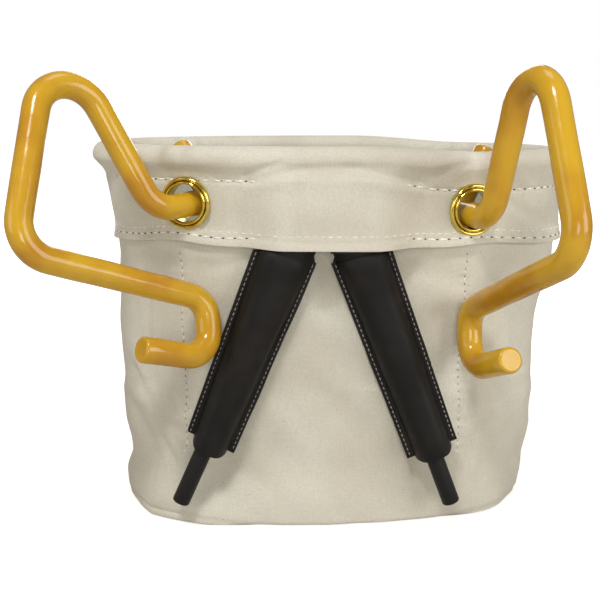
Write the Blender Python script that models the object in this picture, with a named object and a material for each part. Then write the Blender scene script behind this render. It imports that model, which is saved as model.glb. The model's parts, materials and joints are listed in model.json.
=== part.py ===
"""Oval canvas tool bucket with two coated wire hooks and two leather sheaths.

Origin: centre of the flat base. +Z is up, -Y is the front with the hooks.
Lengths are in metres.
"""
import math

import bmesh
import bpy
from mathutils import Matrix, Vector

MM = 0.001

# Fits
CLEAR = 0.3 * MM            # between pieces that touch
OVERRUN = 6 * MM            # how far a cutter passes what it cuts

# Oval body
BUCKET_HEIGHT = 308 * MM    # floor to the top of the rim roll
MOUTH_WIDTH = 372 * MM      # centre line of the rim roll, side to side
MOUTH_DEPTH = 168 * MM      # centre line of the rim roll, front to back
WAIST_WIDTH = 353 * MM
WAIST_DEPTH = 165 * MM
WAIST_HEIGHT = 110 * MM
BASE_WIDTH = 347 * MM
BASE_DEPTH = 164 * MM
OVAL_POWER = 2.15           # 2 is an ellipse, more is squarer
STATIONS = 72               # points around an oval
WALL_THICK = 2.4 * MM       # two plies of duck canvas

# Soft shape of the canvas: how far the wall stands out of the plain oval at its levels
EDGE_ROUND = 4 * MM         # rounded edge at the ground
EDGE_HEIGHT = 4 * MM
SWELL_HEIGHT = 26 * MM
SWELL_OUT = 2 * MM          # all round, above the floor seam
CREASE_HEIGHT = 60 * MM
SHOULDER_HEIGHT = 170 * MM
SIDE_SWELLS = {"left": -3.6 * MM, "right": -3.5 * MM}
SIDE_CREASES = {"left": -1.4 * MM, "right": 2.2 * MM}
SIDE_WAISTS = {"left": 1 * MM, "right": -0.5 * MM}
SIDE_SHOULDERS = {"left": -3.8 * MM, "right": 0.2 * MM}
SIDE_COLLARS = {"left": -6.8 * MM, "right": 5 * MM}
SIDE_START_share = 0.71     # of the half width, from the middle
SIDE_FULL_share = 0.96
CORNER_OUT = 13 * MM        # slumped lower corner at the front left
CORNER_SWELL_share = 0.65   # what is left of it at the swell
CORNER_PLACE_share = 0.76   # of the half width
CORNER_REACH_share = 0.36
CORNER_FRONT_share = 0.3    # of the half depth

# Rim roll and its rope
ROLL_DIAMETER = 20 * MM
ROLL_CLOTH = 2.2 * MM
ROLL_POINTS = 9

# Floor
FLOOR_THICK = 2.4 * MM
FLOOR_FLANGE_HEIGHT = 14 * MM
BOARD_THICK = 6 * MM
LINING_THICK = 1.6 * MM
LINING_WIDTH = 224 * MM
LINING_BELOW = 8.7 * MM     # from the collar's lower edge

# Collar band
COLLAR_THICK = 2.4 * MM
COLLAR_HEIGHT = 61 * MM
BULGE_DEPTH = 18.6 * MM     # how far the sheath tops push the collar out
BULGE_FLAT = 34 * MM        # half width of its full depth
BULGE_REACH = 74 * MM       # half width where it has faded out
BULGE_TOP_share = 0.5       # what is left of it under the rim roll

# Grommets
GROMMET_SPREAD_share = 0.2984   # of the mouth's width, from the middle
GROMMET_DROPS = {"left": 45 * MM, "right": 50.3 * MM}      # from the top of the rim roll
GROMMET_HOLE = 29 * MM
GROMMET_WIDTH = 41 * MM
GROMMET_METAL = 0.9 * MM
GROMMET_CROWN = 3.6 * MM    # height of the rolled front edge
GROMMET_LIP = 1.8 * MM      # how far the barrel is turned over the washer
WASHER_SEAT = 1.4 * MM      # room for the curve of the wall behind the washer
WASHER_THICK = 1.1 * MM
GROMMET_SIDES = 24

# Coated wire hooks, a shape shared by both, seen square on.
# Out is away from the wall; up and down are from the grommet's middle.
ROD_DIAMETER = 12.7 * MM    # bare rod
COAT_DIAMETER = 19.5 * MM   # over the dipped coat
STUB_INSIDE = 25 * MM       # from the grommet to the leg inside the bucket
STUB_HEIGHT = 50 * MM
STUB_LEAN = 24 * MM
NECK_OUT = 32 * MM          # where the rod turns up outside the grommet
APEX_OUT = 75.5 * MM
APEX_UP = 149 * MM
ELBOW_OUT = 150.5 * MM
ELBOW_DOWN = 9.5 * MM
HEEL_OUT = 7 * MM
HEEL_DOWN = 74.5 * MM
TOE_OUT = 16.5 * MM
TOE_DOWN = 120 * MM
TIP_OUT = 75.5 * MM
TIP_DOWN = 97 * MM
STUB_BEND = 15 * MM
NECK_BEND = 24 * MM
APEX_BEND = 27 * MM
ELBOW_BEND = 25 * MM
TOE_BEND = 20 * MM
ARC_STEP = 19               # degrees of bend for each station of the sweep
COAT_SIDES = 12
ROD_SIDES = 8
HOOK_SAGS = {"left": 1.6 * MM, "right": 4.2 * MM}       # how low the rod lies in its hole
END_ROUND = 2.2 * MM        # rounding of the coated ends
BARE_SPOT = 6 * MM          # uncoated spot where the hook hung while it was dipped

# How each hook hangs, in degrees
HOOK_SWING_ANGLES = {"left": 45.4, "right": 17.5}
HOOK_LIFT_ANGLES = {"left": -3.7, "right": 1.0}
HOOK_LEAN_ANGLES = {"left": -17.7, "right": -2.3}

# Leather sheaths, measured down their own length from the collar's lower edge
SHEATH_TILTS = {"left": 22.1, "right": 21.3}                # degrees from upright
SHEATH_SPREAD_shares = {"left": 0.0863, "right": 0.0613}    # of the mouth's width
SHEATH_RAISE = 77.5 * MM    # from the ground to the lower end of the seams
SHEATH_WIDTH = 41 * MM
SHEATH_BACK_GAP = 0.5 * MM
LEATHER = 2.4 * MM
ARCH_WIDTH = 28 * MM        # outside of the raised middle
ARCH_DROP = 12 * MM         # how far the raised middle runs below the seams
ARCH_ROUND = 7 * MM         # rounded lower corners of the raised middle
ARCH_POWER = 3.0
ARCH_POINTS = 10
CUT_DROP = 10.5 * MM        # slope of the upper edge towards the middle
CUT_START_share = 0.35      # of the width, from the outer edge
HINGE_GAP = 0.5 * MM
TAB_HEIGHT = 20 * MM
TAB_LIFT = 1.6 * MM
TAB_COLUMNS = 5             # collar stations covered by a tab

# Bars in the sheaths
BAR_DIAMETER = 14 * MM
BAR_TILTS = {"left": 24.0, "right": 20.7}       # degrees from upright
BAR_SHIFTS = {"left": 0, "right": 1.4 * MM}     # from the sheath's middle, towards the other
BAR_SHIFT_DOWN = 83 * MM    # how far down the sheath that is measured
BAR_TIP_HEIGHT = 25 * MM
BAR_TOP_BELOW = 2 * MM      # from the collar's lower edge
BAR_ROUND = 2 * MM
BAR_SIDES = 16

# Sizes that follow
ROLL_RADIUS = ROLL_DIAMETER / 2
ROLL_Z = BUCKET_HEIGHT - ROLL_RADIUS
ROPE_RADIUS = ROLL_RADIUS - ROLL_CLOTH - CLEAR
WALL_TOP = ROLL_Z - ROLL_RADIUS + ROLL_CLOTH
COLLAR_TOP = ROLL_Z - ROLL_RADIUS - CLEAR
COLLAR_LOW = COLLAR_TOP - COLLAR_HEIGHT
LINING_TOP = COLLAR_LOW - LINING_BELOW
HINGE_Z = COLLAR_LOW - CLEAR
SHEATH_CREST = HINGE_Z - HINGE_GAP
ARCH_HEIGHT = 2 * CLEAR + BAR_DIAMETER + CLEAR
WASHER_FRONT = -(CLEAR + COLLAR_THICK + WALL_THICK + WASHER_SEAT)
BARREL_BACK = WASHER_FRONT - WASHER_THICK - CLEAR - GROMMET_METAL
BARREL_MIDDLE = (BARREL_BACK + CLEAR + GROMMET_METAL) / 2
SIDES = {"left": -1, "right": 1}


def clear_scene():
    """Empty the scene."""
    for item in list(bpy.data.objects):
        bpy.data.objects.remove(item, do_unlink=True)


def make_material(name, colour, roughness, metallic=0.0):
    """A Principled material in one colour."""
    material = bpy.data.materials.new(name)
    material.use_nodes = True
    shader = material.node_tree.nodes["Principled BSDF"]
    shader.inputs["Base Color"].default_value = (*colour, 1)
    shader.inputs["Roughness"].default_value = roughness
    shader.inputs["Metallic"].default_value = metallic
    return material


def oval(half_width, half_depth, angle):
    """A point of the body's oval; angle 0 is at +X and -90 degrees is the front."""
    power = 2 / OVAL_POWER
    cosine, sine = math.cos(angle), math.sin(angle)
    x = math.copysign(abs(cosine) ** power, cosine) * half_width
    y = math.copysign(abs(sine) ** power, sine) * half_depth
    return x, y


def oval_front(half_width, half_depth, x):
    """The front y of the oval at x."""
    left_over = 1 - abs(x / half_width) ** OVAL_POWER
    return -half_depth * max(0, left_over) ** (1 / OVAL_POWER)


def oval_angle(half_width, x):
    """The angle of the front point of the oval at x."""
    return -math.acos(math.copysign(abs(x / half_width) ** (OVAL_POWER / 2), x))


def wall_halves(z, outward=0):
    """Half width and half depth of the wall's outer face at a height."""
    if z < WAIST_HEIGHT:
        share = z / WAIST_HEIGHT
        width = BASE_WIDTH + (WAIST_WIDTH - BASE_WIDTH) * share
        depth = BASE_DEPTH + (WAIST_DEPTH - BASE_DEPTH) * share
    else:
        share = (z - WAIST_HEIGHT) / (WALL_TOP - WAIST_HEIGHT)
        width = WAIST_WIDTH + (MOUTH_WIDTH + WALL_THICK - WAIST_WIDTH) * share
        depth = WAIST_DEPTH + (MOUTH_DEPTH + WALL_THICK - WAIST_DEPTH) * share
    return width / 2 + outward, depth / 2 + outward


def eased(value):
    """A value held between nought and one, with soft ends."""
    value = min(1, max(0, value))
    return value * value * (3 - 2 * value)


def soft_levels(x_share, y_share):
    """Heights of the soft wall and how far it stands out of the plain oval at each."""
    side = "left" if x_share < 0 else "right"
    beside = (abs(x_share) - SIDE_START_share) / (SIDE_FULL_share - SIDE_START_share)
    beside = eased(beside)
    corner = eased(1 - abs(x_share + CORNER_PLACE_share) / CORNER_REACH_share)
    corner *= CORNER_OUT * eased(-y_share / CORNER_FRONT_share)
    return (
        (0, corner - EDGE_ROUND),
        (EDGE_HEIGHT, corner),
        (SWELL_HEIGHT,
         corner * CORNER_SWELL_share + SWELL_OUT + beside * SIDE_SWELLS[side]),
        (CREASE_HEIGHT, beside * SIDE_CREASES[side]),
        (WAIST_HEIGHT, beside * SIDE_WAISTS[side]),
        (SHOULDER_HEIGHT, beside * SIDE_SHOULDERS[side]),
        (COLLAR_LOW, beside * SIDE_COLLARS[side]),
        (COLLAR_TOP, 0),
        (WALL_TOP, 0),
    )


def soft_shift(x_share, y_share, z):
    """How far the wall stands out of the plain oval at a height."""
    levels = soft_levels(x_share, y_share)
    for (low, shift), (high, shift_above) in zip(levels, levels[1:]):
        if z <= high:
            return shift + (shift_above - shift) * (z - low) / (high - low)
    return 0


def wall_ring(z, outward=0):
    """Points around the soft wall at a height."""
    ring = []
    for index in range(STATIONS):
        angle = math.tau * index / STATIONS
        shift = outward + soft_shift(*oval(1, 1, angle), z)
        x, y = oval(*wall_halves(z, shift), angle)
        ring.append(Vector((x, y, z)))
    return ring


def bulge(x, z):
    """How far the collar stands out over the sheath tops."""
    share = eased((BULGE_REACH - abs(x)) / (BULGE_REACH - BULGE_FLAT))
    height_share = (z - COLLAR_LOW) / COLLAR_HEIGHT
    return BULGE_DEPTH * share * (1 - (1 - BULGE_TOP_share) * height_share)


def collar_point(angle, z, outward):
    """A point of the collar's face; outward is measured from the wall's outer face."""
    shift = outward + soft_shift(*oval(1, 1, angle), z)
    x, y = oval(*wall_halves(z, shift), angle)
    if y < 0:
        y -= bulge(x, z)
    return Vector((x, y, z))


def collar_heights():
    """Levels of the collar, from its lower edge to its top."""
    steps = 4
    return [COLLAR_LOW + COLLAR_HEIGHT * index / steps for index in range(steps + 1)]


def collar_angles():
    """Stations around the collar, twice as close over the sheath tops."""
    half_width = wall_halves(COLLAR_LOW)[0]
    step = math.tau / STATIONS
    angles = []
    for index in range(STATIONS):
        angle = step * index
        angles.append(angle)
        x, y = oval(half_width, half_width, angle)
        if y < 0 and abs(x) < BULGE_REACH:
            angles.append(angle + step / 2)
    return angles


def sheath_spread(side):
    """From the bucket's middle to a sheath's middle, at the collar's lower edge."""
    return MOUTH_WIDTH * SHEATH_SPREAD_shares[side]


def hinge_angle(side):
    """The collar station nearest the middle of a sheath."""
    half_width = wall_halves(COLLAR_LOW)[0]
    wanted = oval_angle(half_width, SIDES[side] * sheath_spread(side)) % math.tau
    return min(collar_angles(), key=lambda angle: abs(angle - wanted))


def finish_mesh(name, mesh_data, material, origin=None, matrix=None):
    """Turn a bmesh into a smooth-shaded object with outward faces."""
    bmesh.ops.recalc_face_normals(mesh_data, faces=mesh_data.faces)
    if mesh_data.calc_volume(signed=True) < 0:
        bmesh.ops.reverse_faces(mesh_data, faces=mesh_data.faces)
    if origin is not None:
        bmesh.ops.translate(mesh_data, verts=mesh_data.verts, vec=-origin)
    mesh = bpy.data.meshes.new(name)
    mesh_data.to_mesh(mesh)
    mesh_data.free()
    mesh.materials.append(material)
    mesh.shade_smooth()
    mesh.set_sharp_from_angle(angle=math.radians(35))
    item = bpy.data.objects.new(name, mesh)
    if origin is not None:
        item.location = origin
    if matrix is not None:
        item.matrix_world = matrix
    bpy.context.collection.objects.link(item)
    return item


def add_rings(mesh_data, rings):
    """Vertices for each ring."""
    return [[mesh_data.verts.new(point) for point in ring] for ring in rings]


def join_rings(mesh_data, low, high):
    """Quads between two rings of as many points."""
    count = len(low)
    for index in range(count):
        after = (index + 1) % count
        mesh_data.faces.new((low[index], low[after], high[after], high[index]))


def closed_band(rings):
    """A band whose last ring joins its first, such as a wall with its thickness."""
    mesh_data = bmesh.new()
    loops = add_rings(mesh_data, rings)
    for index, loop in enumerate(loops):
        join_rings(mesh_data, loop, loops[(index + 1) % len(loops)])
    return mesh_data


def capped_sweep(rings):
    """Rings joined in a row, with a flat face over each end."""
    mesh_data = bmesh.new()
    loops = add_rings(mesh_data, rings)
    for low, high in zip(loops, loops[1:]):
        join_rings(mesh_data, low, high)
    mesh_data.faces.new(loops[0])
    mesh_data.faces.new(loops[-1])
    return mesh_data


def turned_ring(profile, sides):
    """A closed profile of radius and height pairs turned about Z."""
    rings = []
    for radius, height in profile:
        ring = []
        for index in range(sides):
            angle = math.tau * index / sides
            ring.append(Vector((radius * math.cos(angle), radius * math.sin(angle), height)))
        rings.append(ring)
    return closed_band(rings)


def grommet_matrix(side):
    """Place of a grommet: Z points out of the wall, on the collar's outer face."""
    z = BUCKET_HEIGHT - GROMMET_DROPS[side]
    outward = CLEAR + COLLAR_THICK
    x = SIDES[side] * MOUTH_WIDTH * GROMMET_SPREAD_share
    angle = oval_angle(wall_halves(z, outward)[0], x)
    centre = collar_point(angle, z, outward)
    turn_step = math.radians(1)
    along = collar_point(angle + turn_step, z, outward) - centre
    upward = collar_point(angle, z + COLLAR_THICK, outward) - centre
    normal = along.cross(upward).normalized()
    right = Vector((0, 0, 1)).cross(normal).normalized()
    up = normal.cross(right)
    turn = Matrix((right, up, normal)).transposed().to_4x4()
    return Matrix.Translation(centre) @ turn


def grommet_cutters():
    """A wire-displayed cylinder through the collar and wall at each grommet."""
    cutters = []
    radius = GROMMET_HOLE / 2 + GROMMET_METAL + CLEAR
    reach = CLEAR + COLLAR_THICK + WALL_THICK + OVERRUN
    for side in SIDES:
        rings = []
        for height in (-reach, OVERRUN):
            ring = []
            for index in range(GROMMET_SIDES):
                angle = math.tau * index / GROMMET_SIDES
                ring.append(Vector((radius * math.cos(angle), radius * math.sin(angle), height)))
            rings.append(ring)
        cutter = finish_mesh("cutter_" + side, capped_sweep(rings),
                             bpy.data.materials["cutter"], matrix=grommet_matrix(side))
        cutter.hide_render = True
        cutter.display_type = "WIRE"
        cutters.append(cutter)
    return cutters


def cut_holes(item, cutters):
    """Boolean the grommet holes out of a piece."""
    for cutter in cutters:
        cut = item.modifiers.new("hole", "BOOLEAN")
        cut.operation = "DIFFERENCE"
        cut.solver = "EXACT"
        cut.object = cutter


def make_wall(material, cutters):
    """The canvas tube from the base to the rim."""
    heights = [height for height, shift in soft_levels(0, 1)]
    heights = sorted({*heights, FLOOR_FLANGE_HEIGHT, *collar_heights()})
    rings = [wall_ring(z) for z in heights]
    rings += [wall_ring(z, -WALL_THICK) for z in reversed(heights)]
    cut_holes(finish_mesh("wall", closed_band(rings), material), cutters)


def make_floor(material, board_material):
    """The canvas floor with its upturned flange, and the stiff board on it."""
    outside = WALL_THICK + CLEAR
    inside = outside + FLOOR_THICK
    rings = [
        wall_ring(0, -outside),
        wall_ring(EDGE_HEIGHT, -outside),
        wall_ring(FLOOR_FLANGE_HEIGHT, -outside),
        wall_ring(FLOOR_FLANGE_HEIGHT, -inside),
        wall_ring(EDGE_HEIGHT, -inside),
        wall_ring(FLOOR_THICK, -inside),
    ]
    finish_mesh("floor_panel", capped_sweep(rings), material)
    low = wall_ring(FLOOR_THICK + CLEAR, -inside - CLEAR)
    high = [point + Vector((0, 0, BOARD_THICK)) for point in low]
    finish_mesh("bottom_board", capped_sweep([low, high]), board_material)


def make_lining(material):
    """A flat second layer inside the front wall, sewn along its two upright edges."""
    low = FLOOR_FLANGE_HEIGHT + CLEAR
    outside = WALL_THICK + CLEAR
    columns = STATIONS // 4
    rings = []
    for index in range(columns + 1):
        x = LINING_WIDTH * (index / columns - 1 / 2)
        ring = []
        for z, inset in ((low, outside), (WAIST_HEIGHT, outside), (LINING_TOP, outside),
                         (LINING_TOP, outside + LINING_THICK),
                         (WAIST_HEIGHT, outside + LINING_THICK), (low, outside + LINING_THICK)):
            half_width, half_depth = wall_halves(z, -inset)
            ring.append(Vector((x, oval_front(half_width, half_depth, x), z)))
        rings.append(ring)
    finish_mesh("front_lining", capped_sweep(rings), material)


def roll_ring(radius, turn):
    """Points around the rim at one place of the roll's round section."""
    outward = radius * math.cos(turn)
    z = ROLL_Z + radius * math.sin(turn)
    ring = []
    for index in range(STATIONS):
        x, y = oval(MOUTH_WIDTH / 2 + outward, MOUTH_DEPTH / 2 + outward,
                    math.tau * index / STATIONS)
        ring.append(Vector((x, y, z)))
    return ring


def make_rim(material, rope_material):
    """The rolled hem with its slot underneath, and the rope inside it."""
    slot = WALL_THICK / 2 + CLEAR
    outer_open = math.asin(slot / ROLL_RADIUS)
    inner_radius = ROLL_RADIUS - ROLL_CLOTH
    inner_open = math.asin(slot / inner_radius)
    down = -math.pi / 2
    rings = []
    for index in range(ROLL_POINTS):
        share = index / (ROLL_POINTS - 1)
        turn = down + outer_open + (math.tau - 2 * outer_open) * share
        rings.append(roll_ring(ROLL_RADIUS, turn))
    for index in reversed(range(ROLL_POINTS)):
        share = index / (ROLL_POINTS - 1)
        turn = down + inner_open + (math.tau - 2 * inner_open) * share
        rings.append(roll_ring(inner_radius, turn))
    finish_mesh("rim_roll", closed_band(rings), material)
    sides = ROLL_POINTS - 1
    rings = [roll_ring(ROPE_RADIUS * math.cos(math.pi / sides), down + math.tau * index / sides)
             for index in range(sides)]
    finish_mesh("rim_rope", closed_band(rings), rope_material)


def make_collar(material, cutters):
    """The band sewn round the outside below the rim."""
    heights = collar_heights()
    rings = []
    for outward, order in ((CLEAR + COLLAR_THICK, heights), (CLEAR, reversed(heights))):
        for z in order:
            rings.append([collar_point(angle, z, outward) for angle in collar_angles()])
    cut_holes(finish_mesh("collar", closed_band(rings), material), cutters)


def make_grommets(material):
    """A brass eyelet and its washer at each side."""
    hole = GROMMET_HOLE / 2
    barrel = hole + GROMMET_METAL
    rim = GROMMET_WIDTH / 2
    washer_back = WASHER_FRONT - WASHER_THICK
    lip_front = washer_back - CLEAR
    crown_middle = (rim + hole) / 2
    crown_edge = (rim - crown_middle) / 2
    eyelet = [
        (hole, BARREL_BACK),
        (barrel + GROMMET_LIP, BARREL_BACK),
        (barrel + GROMMET_LIP, lip_front),
        (barrel, lip_front),
        (barrel, CLEAR),
        (rim, CLEAR),
        (rim, CLEAR + GROMMET_METAL),
        (rim - crown_edge, GROMMET_CROWN - GROMMET_METAL / 2),
        (crown_middle, GROMMET_CROWN),
        (hole + crown_edge, GROMMET_CROWN - GROMMET_METAL / 2),
        (hole, CLEAR + GROMMET_METAL),
    ]
    washer = [
        (barrel + CLEAR, washer_back),
        (rim, washer_back),
        (rim, WASHER_FRONT),
        (barrel + CLEAR, WASHER_FRONT),
    ]
    for side in SIDES:
        place = grommet_matrix(side)
        finish_mesh("grommet_eyelet_" + side, turned_ring(eyelet, GROMMET_SIDES), material,
                    matrix=place)
        finish_mesh("grommet_washer_" + side, turned_ring(washer, GROMMET_SIDES), material,
                    matrix=place)


def bent_path(corners, bends):
    """Centre line through corners with an arc at each inner one."""
    path = [corners[0]]
    for index in range(1, len(corners) - 1):
        corner = corners[index]
        before = (corners[index - 1] - corner).normalized()
        after = (corners[index + 1] - corner).normalized()
        turn = math.pi - before.angle(after)
        setback = bends[index - 1] * math.tan(turn / 2)
        start = corner + before * setback
        middle = (before + after).normalized()
        centre = corner + middle * (bends[index - 1] / math.cos(turn / 2))
        first = start - centre
        last = corner + after * setback - centre
        steps = max(2, math.ceil(math.degrees(turn) / ARC_STEP))
        axis = first.cross(last).normalized()
        for step in range(steps + 1):
            path.append(centre + Matrix.Rotation(turn * step / steps, 3, axis) @ first)
    path.append(corners[-1])
    return path


def tube_rings(path, radii, sides):
    """Rings square to a path, carried along it without twist."""
    rings = []
    tangent = (path[1] - path[0]).normalized()
    across = tangent.orthogonal().normalized()
    for before, point, after, radius in zip(path[:1] + path, path, path[1:] + path[-1:], radii):
        turned = (after - before).normalized()
        across = (across - turned * across.dot(turned)).normalized()
        up = turned.cross(across)
        ring = []
        for side in range(sides):
            angle = math.tau * side / sides
            ring.append(point + (across * math.cos(angle) + up * math.sin(angle)) * radius)
        rings.append(ring)
    return rings


def hook_path(side, end_inset):
    """The wire's centre line about its grommet, both ends shortened by end_inset."""
    outer = SIDES[side]
    corners = [
        Vector((STUB_LEAN * outer, STUB_INSIDE, STUB_HEIGHT)),
        Vector((0, STUB_INSIDE, 0)),
        Vector((0, -NECK_OUT, 0)),
        Vector((0, -APEX_OUT, APEX_UP)),
        Vector((0, -ELBOW_OUT, -ELBOW_DOWN)),
        Vector((0, -HEEL_OUT, -HEEL_DOWN)),
        Vector((0, -TOE_OUT, -TOE_DOWN)),
        Vector((0, -TIP_OUT, -TIP_DOWN)),
    ]
    corners[0] += (corners[1] - corners[0]).normalized() * end_inset
    corners[-1] += (corners[-2] - corners[-1]).normalized() * end_inset
    bends = (STUB_BEND, NECK_BEND, APEX_BEND, ELBOW_BEND, TOE_BEND, TOE_BEND)
    return bent_path(corners, bends)


def hook_matrix(side):
    """Place of a hook: its origin is in the middle of its grommet's barrel."""
    centre = grommet_matrix(side) @ Vector((0, -HOOK_SAGS[side], BARREL_MIDDLE))
    outer = SIDES[side]
    turn = Matrix.Rotation(math.radians(HOOK_SWING_ANGLES[side] * outer), 4, "Z")
    turn = turn @ Matrix.Rotation(math.radians(-HOOK_LIFT_ANGLES[side]), 4, "X")
    turn = turn @ Matrix.Rotation(math.radians(-HOOK_LEAN_ANGLES[side] * outer), 4, "Y")
    return Matrix.Translation(centre) @ turn


def end_step(path, index, step, distance):
    """A point on a path's end stretch, at a distance from the end."""
    return path[index] + (path[index + step] - path[index]).normalized() * distance


def make_hook(side, rod_material, coat_material):
    """A bent steel rod and the dipped coat round it."""
    place = hook_matrix(side)
    coat_radius = COAT_DIAMETER / 2
    rod_radius = ROD_DIAMETER / 2
    bore_radius = rod_radius + CLEAR
    cover = coat_radius - bore_radius
    rod = hook_path(side, cover + CLEAR)
    finish_mesh("hook_rod_" + side,
                capped_sweep(tube_rings(rod, [rod_radius] * len(rod), ROD_SIDES)),
                rod_material, matrix=place)
    full = hook_path(side, 0)
    outside = [full[0], end_step(full, 0, 1, END_ROUND)] + full[1:-1]
    outside += [end_step(full, -1, -1, END_ROUND), full[-1]]
    radii = [coat_radius for point in outside]
    radii[0] = coat_radius - END_ROUND
    radii[-1] = coat_radius - END_ROUND
    inside = hook_path(side, cover)
    outer_rings = tube_rings(outside, radii, COAT_SIDES)
    inner_rings = tube_rings(inside, [bore_radius] * len(inside), COAT_SIDES)
    spot_share = BARE_SPOT / (2 * bore_radius)
    spot_inner = [inside[0] + (point - inside[0]) * spot_share for point in inner_rings[0]]
    spot_outer = [point + (full[0] - inside[0]) for point in spot_inner]
    rings = list(reversed(outer_rings)) + [spot_outer, spot_inner] + inner_rings
    finish_mesh("hook_coat_" + side, capped_sweep(rings), coat_material, matrix=place)


def sheath_point(side, across, down, height):
    """A point of a sheath: across is towards its outer edge, height is off the wall."""
    tilt = math.radians(SHEATH_TILTS[side])
    x = sheath_spread(side) + across * math.cos(tilt) + down * math.sin(tilt)
    z = COLLAR_LOW + across * math.sin(tilt) - down * math.cos(tilt)
    return Vector((SIDES[side] * x, sheath_back_y() - height, z))


def sheath_back_y():
    """The plane of the sheaths' backs."""
    return -(wall_halves(COLLAR_LOW)[1] + SHEATH_BACK_GAP)


def hinge_origin(side):
    """The joint's place: where the leather turns under the collar's lower edge."""
    edge = collar_point(hinge_angle(side), COLLAR_LOW, CLEAR + COLLAR_THICK / 2)
    return Vector((edge.x, edge.y, HINGE_Z))


def crest_down(side, across, drop):
    """How far down a column starts, so that its top lies level under the collar."""
    tilt = math.radians(SHEATH_TILTS[side])
    return (COLLAR_LOW - SHEATH_CREST + drop + across * math.sin(tilt)) / math.cos(tilt)


def sheath_length(side):
    """From the collar's lower edge to the end of the seams, along the sheath."""
    return (COLLAR_LOW - SHEATH_RAISE) / math.cos(math.radians(SHEATH_TILTS[side]))


def front_columns():
    """Across, outer height, inner across and inner height along the front piece."""
    half = SHEATH_WIDTH / 2
    arch_half = ARCH_WIDTH / 2
    inner_half = arch_half - LEATHER
    seat = LEATHER + CLEAR
    columns = [(-half, seat + LEATHER, -half, seat)]
    for index in range(ARCH_POINTS + 1):
        angle = math.pi * (1 - index / ARCH_POINTS)
        cosine, sine = math.cos(angle), math.sin(angle)
        across_share = math.copysign(abs(cosine) ** (2 / ARCH_POWER), cosine)
        rise_share = max(0, sine) ** (2 / ARCH_POWER)
        outer_height = seat + LEATHER + (ARCH_HEIGHT - CLEAR) * rise_share
        inner_height = seat + (ARCH_HEIGHT - CLEAR) * rise_share
        columns.append((arch_half * across_share, outer_height,
                        inner_half * across_share, inner_height))
    columns.append((half, seat + LEATHER, half, seat))
    return columns


def make_sheath(side, material):
    """The raised front, the flat back and the sewn-in tab of one sheath."""
    half = SHEATH_WIDTH / 2
    hinge = hinge_origin(side)
    cut_start = half - SHEATH_WIDTH * CUT_START_share
    rings = []
    for across, outer_height, inner_across, inner_height in front_columns():
        drop = CUT_DROP * max(0, (cut_start - across) / (cut_start + half))
        top = crest_down(side, across, drop)
        bottom = sheath_length(side)
        if abs(across) < ARCH_WIDTH / 2:
            corner = max(0, abs(across) - (ARCH_WIDTH / 2 - ARCH_ROUND)) / ARCH_ROUND
            bottom += ARCH_DROP * math.sqrt(max(0, 1 - corner * corner))
        rings.append([
            sheath_point(side, across, top, outer_height),
            sheath_point(side, across, bottom, outer_height),
            sheath_point(side, inner_across, bottom, inner_height),
            sheath_point(side, inner_across, top, inner_height),
        ])
    finish_mesh("sheath_front_" + side, capped_sweep(rings), material, origin=hinge)
    rings = []
    for across in (-half, half):
        top = crest_down(side, across, 0)
        rings.append([
            sheath_point(side, across, top, 0),
            sheath_point(side, across, sheath_length(side), 0),
            sheath_point(side, across, sheath_length(side), LEATHER),
            sheath_point(side, across, top, LEATHER),
        ])
    finish_mesh("sheath_back_" + side, capped_sweep(rings), material, origin=hinge)
    low = COLLAR_LOW + TAB_LIFT
    middle = hinge_angle(side)
    columns = sorted(collar_angles(), key=lambda angle: abs(angle - middle))[:TAB_COLUMNS]
    rings = []
    for angle in sorted(columns):
        rings.append([
            collar_point(angle, low, 0),
            collar_point(angle, low + TAB_HEIGHT, 0),
            collar_point(angle, low + TAB_HEIGHT, -LEATHER),
            collar_point(angle, low, -LEATHER),
        ])
    finish_mesh("sheath_tab_" + side, capped_sweep(rings), material)


def make_bar(side, material):
    """The round bar that slides in the sheath."""
    tilt = math.radians(BAR_TILTS[side])
    down = Vector((SIDES[side] * math.sin(tilt), 0, -math.cos(tilt)))
    height = LEATHER + CLEAR + BAR_DIAMETER / 2
    middle = sheath_point(side, -BAR_SHIFTS[side], BAR_SHIFT_DOWN, height)
    top_z = COLLAR_LOW - BAR_TOP_BELOW
    top = middle - down * ((top_z - middle.z) / math.cos(tilt))
    tip = middle + down * ((middle.z - BAR_TIP_HEIGHT) / math.cos(tilt))
    radius = BAR_DIAMETER / 2
    path = [top, top + down * BAR_ROUND, tip - down * BAR_ROUND, tip]
    radii = [radius - BAR_ROUND, radius, radius, radius - BAR_ROUND]
    finish_mesh("bar_" + side, capped_sweep(tube_rings(path, radii, BAR_SIDES)), material,
                origin=top)


def main():
    """Build every piece."""
    clear_scene()
    canvas = make_material("duck canvas", (0.60, 0.53, 0.43), 0.9)
    lining = make_material("lining canvas", (0.56, 0.49, 0.39), 0.9)
    rope = make_material("cotton rope", (0.55, 0.46, 0.34), 0.9)
    board = make_material("fibre board", (0.20, 0.13, 0.08), 0.7)
    brass = make_material("brass", (0.72, 0.52, 0.16), 0.25, 1.0)
    bare = make_material("aluminium rod", (0.55, 0.55, 0.56), 0.4, 1.0)
    coat = make_material("dipped yellow coat", (0.72, 0.38, 0.03), 0.3)
    leather = make_material("black leather", (0.018, 0.015, 0.014), 0.5)
    black = make_material("black bar", (0.02, 0.02, 0.022), 0.6)
    make_material("cutter", (1, 0, 0), 0.5)
    cutters = grommet_cutters()
    make_wall(canvas, cutters)
    make_floor(canvas, board)
    make_lining(lining)
    make_rim(canvas, rope)
    make_collar(canvas, cutters)
    make_grommets(brass)
    for side in SIDES:
        make_hook(side, bare, coat)
        make_sheath(side, leather)
        make_bar(side, black)


main()
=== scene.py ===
"""Oval canvas tool bucket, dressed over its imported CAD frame.

Lengths are in metres. +Z is up, and -Y is the front with the hooks.
"""
import json
import math

import bpy
import numpy as np
from mathutils import Matrix, Vector


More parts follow.
